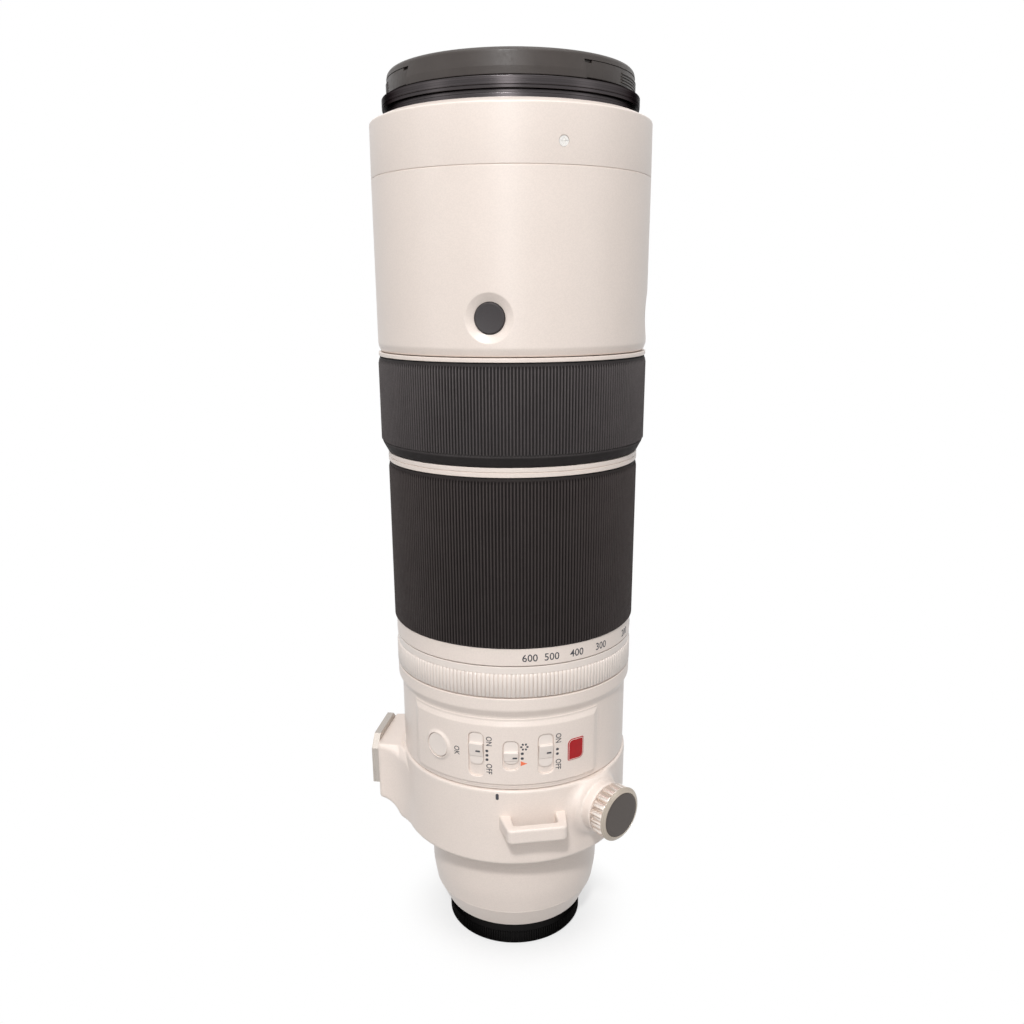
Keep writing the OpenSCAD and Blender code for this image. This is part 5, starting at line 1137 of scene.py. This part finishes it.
class LENS_OT_focus_ring(bpy.types.Operator):
    """Turns the focus ring with its tapered lip and its ribbed rubber grip"""
    bl_idname = "lens.focus_ring"
    bl_label = "Focus ring"

    def execute(self, context):
        low, high = span("focus_ring")[1:]
        r, grip_low, grip_high = span("focus_grip")
        bore, core, low_r = RING_BORE, r - 1.85, 47.65
        ring = turned("focus_ring_body", [
            (bore, low, 0.1), (low_r, low, 0.3), (r - 0.45, grip_low - 0.5, 0.6),
            (r - 0.4, grip_low - 0.05, 0.15), (core, grip_low, 0), (core, high, 0),
            (bore, high, 0.1)], "focus_rubber")
        fix(even_shade(ring), "focus", "cap_black", "focus_ring")
        depth = length("rib_depth")
        sleeve = turned("focus_grip_rubber", [
            (core + 0.04, grip_low, 0), (r - 0.4, grip_low, 0.15), (r - depth, grip_low + 0.5, 0),
            (r - depth, grip_high - 1.6, 0), (r - 0.5, grip_high - 1.0, 0.2),
            (r - 0.6, grip_high, 0.3), (core + 0.04, grip_high, 0)], "focus_rubber")
        one = rib([(grip_low + 0.1, 0.28, 0.4), (grip_low + 0.6, 0.31, 1),
                   (grip_high - 2.4, 0.31, 1), (grip_high - 0.9, 0.18, 0.6)], depth)
        sleeve = ribbed(even_shade(sleeve), one, sizes().focus_ribs, r - depth, "focus_rubber")
        fix(sleeve, "focus", "grip_rubber", "focus_grip")
        return {"FINISHED"}


class LENS_OT_trim_rings(bpy.types.Operator):
    """Turns the white rings beside the focus ring"""
    bl_idname = "lens.trim_rings"
    bl_label = "Trim rings"

    def execute(self, context):
        for name, deep in (("middle_trim_ring", 0.3), ("front_trim_ring", 0)):
            r, low, high = span(name)
            line = low + (high - low) * 0.45
            groove = [(r, line, 0.08), (r - deep, line + 0.1, 0), (r - deep, line + 0.25, 0),
                      (r, line + 0.35, 0.08)] if deep else []
            ring = turned(name + "_body", [
                (TRIM_BORE, low, 0.1), (r, low, 0.25), *groove, (r, high, 0.25),
                (TRIM_BORE, high, 0.1)], "pearl")
            fix(even_shade(ring), "barrel", "pearl_white", name)
        return {"FINISHED"}


HOLD_Z = 255.0
HOLD_PLACES = ("side", "top", "back", "foot")


class LENS_OT_front_barrel(bpy.types.Operator):
    """Turns the front barrel and sinks the four dishes round the focus hold buttons"""
    bl_idname = "lens.front_barrel"
    bl_label = "Front barrel"

    def execute(self, context):
        r, low, high = span("front_barrel")
        wall, tube_top = 2.0, 245.7
        dish_r, hole_r, deep, far = 8.0, 5.2, 1.5, 99.0
        rows = np.arange(HOLD_Z - dish_r - 0.6, HOLD_Z + dish_r + 0.6, 0.25)
        outer = [(r, z, 0) for z in rows]
        fine = np.concatenate([turn_of(p) + np.linspace(-0.18, 0.18, 74) for p in HOLD_PLACES])
        coarse = [t for t in np.linspace(0, TURN, sizes().steps, endpoint=False)
                  if all(abs(math.remainder(t - turn_of(p), TURN)) > 0.185 for p in HOLD_PLACES)]
        turns = np.sort(np.concatenate([np.mod(fine, TURN), coarse]))

        def dished(turn, radius, z):
            near = np.full(radius.shape, far)
            for place in HOLD_PLACES:
                across = r * np.sin(turn - turn_of(place))
                ahead = np.cos(turn - turn_of(place)) > 0
                near = np.where(ahead, np.minimum(near, np.hypot(across, z - HOLD_Z)), near)
            share = np.clip((dish_r - near) / (dish_r - hole_r), 0, 1)
            return np.where(radius > r - 0.5, radius - deep * share, radius)

        barrel = turned("front_barrel_shell", [
            (TRIM_BORE, low, 0.2), (r - 1.0, low, 0.35), (r - 0.45, low + 1.2, 0.6),
            (r, low + 2.6, 0.9), *outer, (r, high - 0.15, 0.15), (r - 0.2, high, 0),
            (r - wall, high, 0), (r - wall, tube_top, 0), (TRIM_BORE, tube_top, 0)], "pearl",
            turns=turns, relief=dished)
        for place in HOLD_PLACES:
            drill = turned("drill", [(0, 45, 0), (hole_r, 45, 0), (hole_r, 52, 0), (0, 52, 0)],
                           "pearl")
            drill.data.transform(outward(turn_of(place), HOLD_Z))
            carve(barrel, drill)
        smooth(barrel.data)
        fix(barrel, "barrel", "pearl_white", "front_barrel")
        return {"FINISHED"}


class LENS_OT_hold_buttons(bpy.types.Operator):
    """Turns the four focus hold buttons"""
    bl_idname = "lens.hold_buttons"
    bl_label = "Focus hold buttons"

    def execute(self, context):
        face, flange, flange_t, r = 48.85, 46.9, 1.0, 5.0
        for place in HOLD_PLACES:
            button = turned("hold_disc_" + place, [
                (0, flange - flange_t, 0), (r + 1, flange - flange_t, 0), (r + 1, flange, 0.1),
                (r, flange, 0), (r, face - 0.35, 0.15), (r - 0.35, face, 0.15),
                (r - 0.7, face - 0.08, 0), (0, face - 0.08, 0)],
                "button_grey")
            button.data.transform(outward(turn_of(place), HOLD_Z))
            fix(even_shade(button), "hold_" + place, "cap_black", "hold_button_" + place)
        return {"FINISHED"}


class LENS_OT_front_ring(bpy.types.Operator):
    """Turns the plain white front ring and its bevel, with holes for the three screws"""
    bl_idname = "lens.front_ring"
    bl_label = "Front ring"

    def execute(self, context):
        r, low, high = span("front_ring")
        shoulder, bevel, bore, spigot = 300.9, 318.7, 45.0, 47.61
        ring = turned("front_ring_body", [
            (bore, low, 0), (spigot, low, 0.2), (spigot, shoulder, 0), (r - 0.25, shoulder, 0.1),
            (r, shoulder + 0.25, 0.15), (r - 0.15, bevel, 0.5), (bore + 0.5, high - 0.05, 0.3),
            (bore, high - 0.3, 0)], "pearl")
        screw_z, screw_at, hole_r = 307.7, 28, 1.68
        for i in range(3):
            drill = turned("drill", [(0, 47.2, 0), (hole_r, 47.2, 0), (hole_r, 49.35, 0),
                                     (2.0, 50.2, 0), (0, 50.2, 0)], "pearl")
            turn = sizes().side + math.radians(screw_at + 120 * i)
            drill.data.transform(outward(turn, screw_z))
            carve(ring, drill)
        smooth(ring.data)
        fix(ring, "barrel", "pearl_white", "front_ring")
        return {"FINISHED"}


class LENS_OT_filter_ring(bpy.types.Operator):
    """Turns the black ring with the hood bayonet outside and the filter thread inside"""
    bl_idname = "lens.filter_ring"
    bl_label = "Filter ring"

    def execute(self, context):
        r, low, high = span("filter_ring")
        neck_low, gap_low, gap_high = 320.5, 322.0, 322.9
        hood_r, neck, throat, thread_r, pitch = 44.9, 44.1, 39.6, 41.0, 0.75
        thread_low, thread_high = 313.9, 320.9
        teeth = []
        z = thread_high - pitch
        while z > thread_low + pitch:
            teeth += [(thread_r, z, 0), (thread_r + 0.35, z - pitch / 2, 0)]
            z -= pitch
        ring = turned("filter_ring_body", [
            (throat, low, 0), (r, low, 0), (r, neck_low - 0.1, 0),
            (neck + 0.15, neck_low + 0.1, 0.1), (neck, gap_low - 0.1, 0.25),
            (hood_r - 1.6, gap_low, 0), (hood_r - 1.6, gap_high, 0),
            (hood_r - 0.1, gap_high + 0.1, 0.25), (hood_r, gap_high + 1.0, 0),
            (hood_r - 0.14, gap_high + 1.1, 0), (hood_r, gap_high + 1.25, 0),
            (hood_r, high - 0.2, 0.25), (hood_r - 0.5, high, 0.1), (thread_r + 0.75, high, 0.2),
            (thread_r + 0.7, thread_high + 0.2, 0.1), *teeth, (thread_r + 0.3, thread_low, 0),
            (throat, thread_low, 0.3)], "black_metal")
        fix(even_shade(ring), "barrel", "black_metal", "filter_ring")
        return {"FINISHED"}


class LENS_OT_front_cap(bpy.types.Operator):
    """Makes the pinch front cap and its two levers"""
    bl_idname = "lens.front_cap"
    bl_label = "Front cap"

    def execute(self, context):
        low, high = span("front_cap")[1:]
        r, wall, plate = 43.6, 3.0, 2.4
        pocket_r, pocket_half = 36.0, 32.5
        cap = turned("front_cap_shell", [
            (0, high - plate, 0), (r - wall, high - plate, 0.3), (r - wall, low, 0.2),
            (r, low, 0.25), (r - 0.08, low + 2.4, 0.12), (r - 0.85, high - 0.9, 0.5),
            (r - 1.7, high - 0.02, 0.5), (r - 7.6, high, 0.3), (r - 8.4, high - 0.7, 0.4),
            (r - 15, high - 0.7, 0.1), (r - 15.2, high - 0.9, 0), (r - 15.6, high - 0.9, 0),
            (r - 15.8, high - 0.7, 0.1), (0, high - 0.7, 0)], "cap_plastic")
        cap = even_shade(cap)
        for place in ("top", "foot"):
            turn = turn_of(place)
            half = math.asin(pocket_half / pocket_r)
            inner = [(pocket_r * math.sin(a), -pocket_r * math.cos(a))
                     for a in np.linspace(-half, half, 40)]
            plan = inner + [(pocket_half, -r - 3), (-pocket_half, -r - 3)]
            count = len(plan)
            points = [(x * math.cos(turn) - y * math.sin(turn), x * math.sin(turn)
                       + y * math.cos(turn), z) for z in (low - 1, high - plate) for x, y in plan]
            faces = [list(range(count)), list(range(count, 2 * count))]
            faces += [(i, (i + 1) % count, count + (i + 1) % count, count + i)
                      for i in range(count)]
            carve(cap, solid("pocket", points, faces, "cap_plastic"))
            self.lever(place, turn, low + 0.4, high - plate - 0.15, r - 0.35)
        smooth(cap.data)
        fix(cap, "front_cap", "cap_black", "front_cap")
        return {"FINISHED"}

    def lever(self, place, turn, low, high, r):
        """One lever with finger ribs outside and a claw that reaches into the filter ring"""
        deep, half, ribs, rise, ribbed_half = 4.6, 32.2, 4, 0.35, math.radians(24)
        reach = math.asin(half / r) + 0.12
        pitch = (high - low - 1.6) / ribs
        face = r - rise
        outline = [(r - deep, low, 0.2), (face, low, 0.3), (face, high, 0.1),
                   (r - deep, high, 0.2)]
        for i in range(ribs):
            z = low + 0.7 + pitch * i
            bar = turned("lever_%s_rib_%d" % (place, i + 1), [
                (face - 0.3, z, 0), (r, z + 0.15, 0.15), (r, z + pitch * 0.6, 0.15),
                (face - 0.3, z + pitch * 0.7, 0)], "cap_plastic",
                arc=(turn - ribbed_half, turn + ribbed_half))
            fix(bar, "lever_" + place, "cap_black")
        lever = turned("lever_" + place + "_bar", outline, "cap_plastic",
                       arc=(turn - reach, turn + reach))
        trim(lever, Vector((math.cos(turn), math.sin(turn), 0)), half)
        end = math.asin(half / face) - 0.035
        for way in (1, -1):
            middle = turn + way * end
            carve(lever, turned("notch", [
                (face - 0.8, high - 0.8, 0), (face + 1, high - 0.8, 0), (face + 1, high + 1, 0),
                (face - 0.8, high + 1, 0)], "cap_plastic", arc=(middle - 0.03, middle + 0.05)
                if way > 0 else (middle - 0.05, middle + 0.03)))
        smooth(lever.data)
        fix(lever, "lever_" + place, "cap_black", "cap_lever_" + place)
        claw_r, claw_low = 41.4, 322.7
        claw_half = math.asin(8 / claw_r)
        claw = turned("lever_" + place + "_claw", [
            (claw_r - 1, claw_low, 0.15), (claw_r, claw_low, 0.15), (claw_r, low + 0.1, 0),
            (claw_r - 1, low + 0.1, 0)], "cap_plastic",
            arc=(turn - claw_half, turn + claw_half))
        fix(claw, "lever_" + place, "cap_black")


class LENS_OT_stage(bpy.types.Operator):
    """Sets the floor, the white room, the softboxes and the camera"""
    bl_idname = "lens.stage"
    bl_label = "Stage"

    def execute(self, context):
        stage = context.scene.lens_stage
        context.scene.view_settings.view_transform = "Standard"
        self.floor()
        self.room(stage.ambient)
        aim, camera_at = Vector((0, 0, 0.17)), (0, -0.3632, 0.2630)
        for name, lamp_at, size, power in (
                ("Key lamp", (-0.2, -1.6, 1.8), (0.2, 0.2), stage.key_power),
                ("Front strip", (-0.06, -1.25, 0.6), (0.3, 1.1), stage.strip_power),
                ("Top softbox", (0.0, -0.2, 1.6), (1.2, 1.2), stage.top_power),
                ("Left softbox", (-1.3, -0.6, 0.6), (0.4, 1.0), 1.2 * stage.side_power),
                ("Right softbox", (1.3, -0.6, 0.6), (0.4, 1.0), stage.side_power)):
            lamp = bpy.data.lights.new(name, "AREA")
            lamp.shape = "RECTANGLE"
            lamp.size, lamp.size_y = size
            lamp.energy = power
            holder = bpy.data.objects.new(name, lamp)
            holder.location = lamp_at
            holder.rotation_euler = (aim - Vector(lamp_at)).to_track_quat("-Z", "Y").to_euler()
            context.scene.collection.objects.link(holder)
        camera = bpy.data.objects.new("Camera", bpy.data.cameras.new("Camera"))
        camera.data.lens = stage.lens
        camera.data.shift_x, camera.data.shift_y = -0.0011, 0.0617
        camera.matrix_world = (Matrix.Translation(camera_at)
                               @ Matrix.Rotation(math.pi / 2 - stage.pitch, 4, "X")
                               @ Matrix.Rotation(stage.roll, 4, "Z"))
        context.scene.collection.objects.link(camera)
        context.scene.camera = camera
        return {"FINISHED"}

    def seen(self, tree):
        """1 for rays from the camera, from gloss and through glass"""
        path = add_node(tree, "ShaderNodeLightPath").outputs
        one = add_node(tree, "ShaderNodeMath", {0: path["Is Camera Ray"],
                                                1: path["Is Glossy Ray"]}, operation="MAXIMUM")
        return add_node(tree, "ShaderNodeMath", {0: one.outputs[0],
                                                 1: path["Is Transmission Ray"]},
                        operation="MAXIMUM").outputs[0]

    def floor(self):
        """A pale floor that turns to plain white away from the lens"""
        half, below = 4.0, -0.05 * MM
        mesh = bpy.data.meshes.new("floor")
        mesh.from_pydata([(x * half, y * half, below) for x, y in
                          ((-1, -1), (1, -1), (1, 1), (-1, 1))], [], [(0, 1, 2, 3)])
        floor = bpy.data.objects.new("floor", mesh)
        bpy.context.scene.collection.objects.link(floor)
        material = bpy.data.materials.new("floor")
        material.use_nodes = True
        tree = material.node_tree
        tree.nodes.clear()
        place = add_node(tree, "ShaderNodeTexCoord").outputs["Object"]
        away = add_node(tree, "ShaderNodeVectorMath", {0: place}, operation="LENGTH")
        fade = add_node(tree, "ShaderNodeMapRange", {
            "Value": away.outputs["Value"], "From Min": 0.03, "From Max": 0.055,
            "To Min": 0.6}, interpolation_type="SMOOTHSTEP")
        white = add_node(tree, "ShaderNodeMath", {0: fade.outputs[0], 1: self.seen(tree)},
                         operation="MULTIPLY")
        paint = add_node(tree, "ShaderNodeMapRange", {"Value": self.seen(tree), "To Min": 0.32,
                                                      "To Max": 0.95})
        lit = add_node(tree, "ShaderNodeBsdfDiffuse", {"Color": paint.outputs[0]})
        plain = add_node(tree, "ShaderNodeEmission", {"Strength": 1.0})
        mixed = add_node(tree, "ShaderNodeMixShader", {0: white.outputs[0], 1: lit.outputs[0],
                                                       2: plain.outputs[0]})
        add_node(tree, "ShaderNodeOutputMaterial", {0: mixed.outputs[0]})
        mesh.materials.append(material)

    def room(self, ambient):
        """A white room, softer as light than as it looks"""
        world = bpy.data.worlds.new("White room")
        world.use_nodes = True
        tree = world.node_tree
        tree.nodes.clear()
        level = add_node(tree, "ShaderNodeMapRange", {"Value": self.seen(tree), "To Min": ambient,
                                                      "To Max": 1.0})
        sky = add_node(tree, "ShaderNodeBackground", {"Color": (1, 1, 1, 1),
                                                      "Strength": level.outputs[0]})
        add_node(tree, "ShaderNodeOutputWorld", {0: sky.outputs[0]})
        bpy.context.scene.world = world


PIECES = (LENS_OT_finishes, LENS_OT_rear_cap, LENS_OT_rear_cover, LENS_OT_rear_barrel,
          LENS_OT_control_panel, LENS_OT_switches, LENS_OT_badge, LENS_OT_marks,
          LENS_OT_tripod_collar, LENS_OT_strap_lugs, LENS_OT_lock_knob,
          LENS_OT_aperture_ring, LENS_OT_zoom_ring, LENS_OT_focus_ring, LENS_OT_trim_rings,
          LENS_OT_front_barrel, LENS_OT_hold_buttons, LENS_OT_front_ring,
          LENS_OT_filter_ring, LENS_OT_front_cap, LENS_OT_stage)


class LENS_PT_panel(bpy.types.Panel):
    """Lists the pieces of the lens"""
    bl_idname = "LENS_PT_panel"
    bl_label = "Super telephoto lens"
    bl_space_type = "VIEW_3D"
    bl_region_type = "UI"
    bl_category = "Lens"

    def draw(self, context):
        for piece in PIECES:
            self.layout.operator(piece.bl_idname)
        for group in ("lens_sizes", "lens_colours", "lens_stage"):
            settings = getattr(context.scene, group)
            for name in settings.__annotations__:
                self.layout.prop(settings, name)


CLASSES = (LensColours, LensSizes, LensStage, *PIECES, LENS_PT_panel)


def register():
    """Registers the classes and their settings"""
    for item in CLASSES:
        bpy.utils.register_class(item)
    bpy.types.Scene.lens_colours = bpy.props.PointerProperty(type=LensColours)
    bpy.types.Scene.lens_sizes = bpy.props.PointerProperty(type=LensSizes)
    bpy.types.Scene.lens_stage = bpy.props.PointerProperty(type=LensStage)


def unregister():
    """Takes the settings and classes away again"""
    del bpy.types.Scene.lens_stage
    del bpy.types.Scene.lens_sizes
    del bpy.types.Scene.lens_colours
    for item in reversed(CLASSES):
        bpy.utils.unregister_class(item)


def main():
    """Makes every piece in order"""
    register()
    for piece in PIECES:
        family, name = piece.bl_idname.split(".")
        getattr(getattr(bpy.ops, family), name)()


if __name__ == "__main__":
    main()
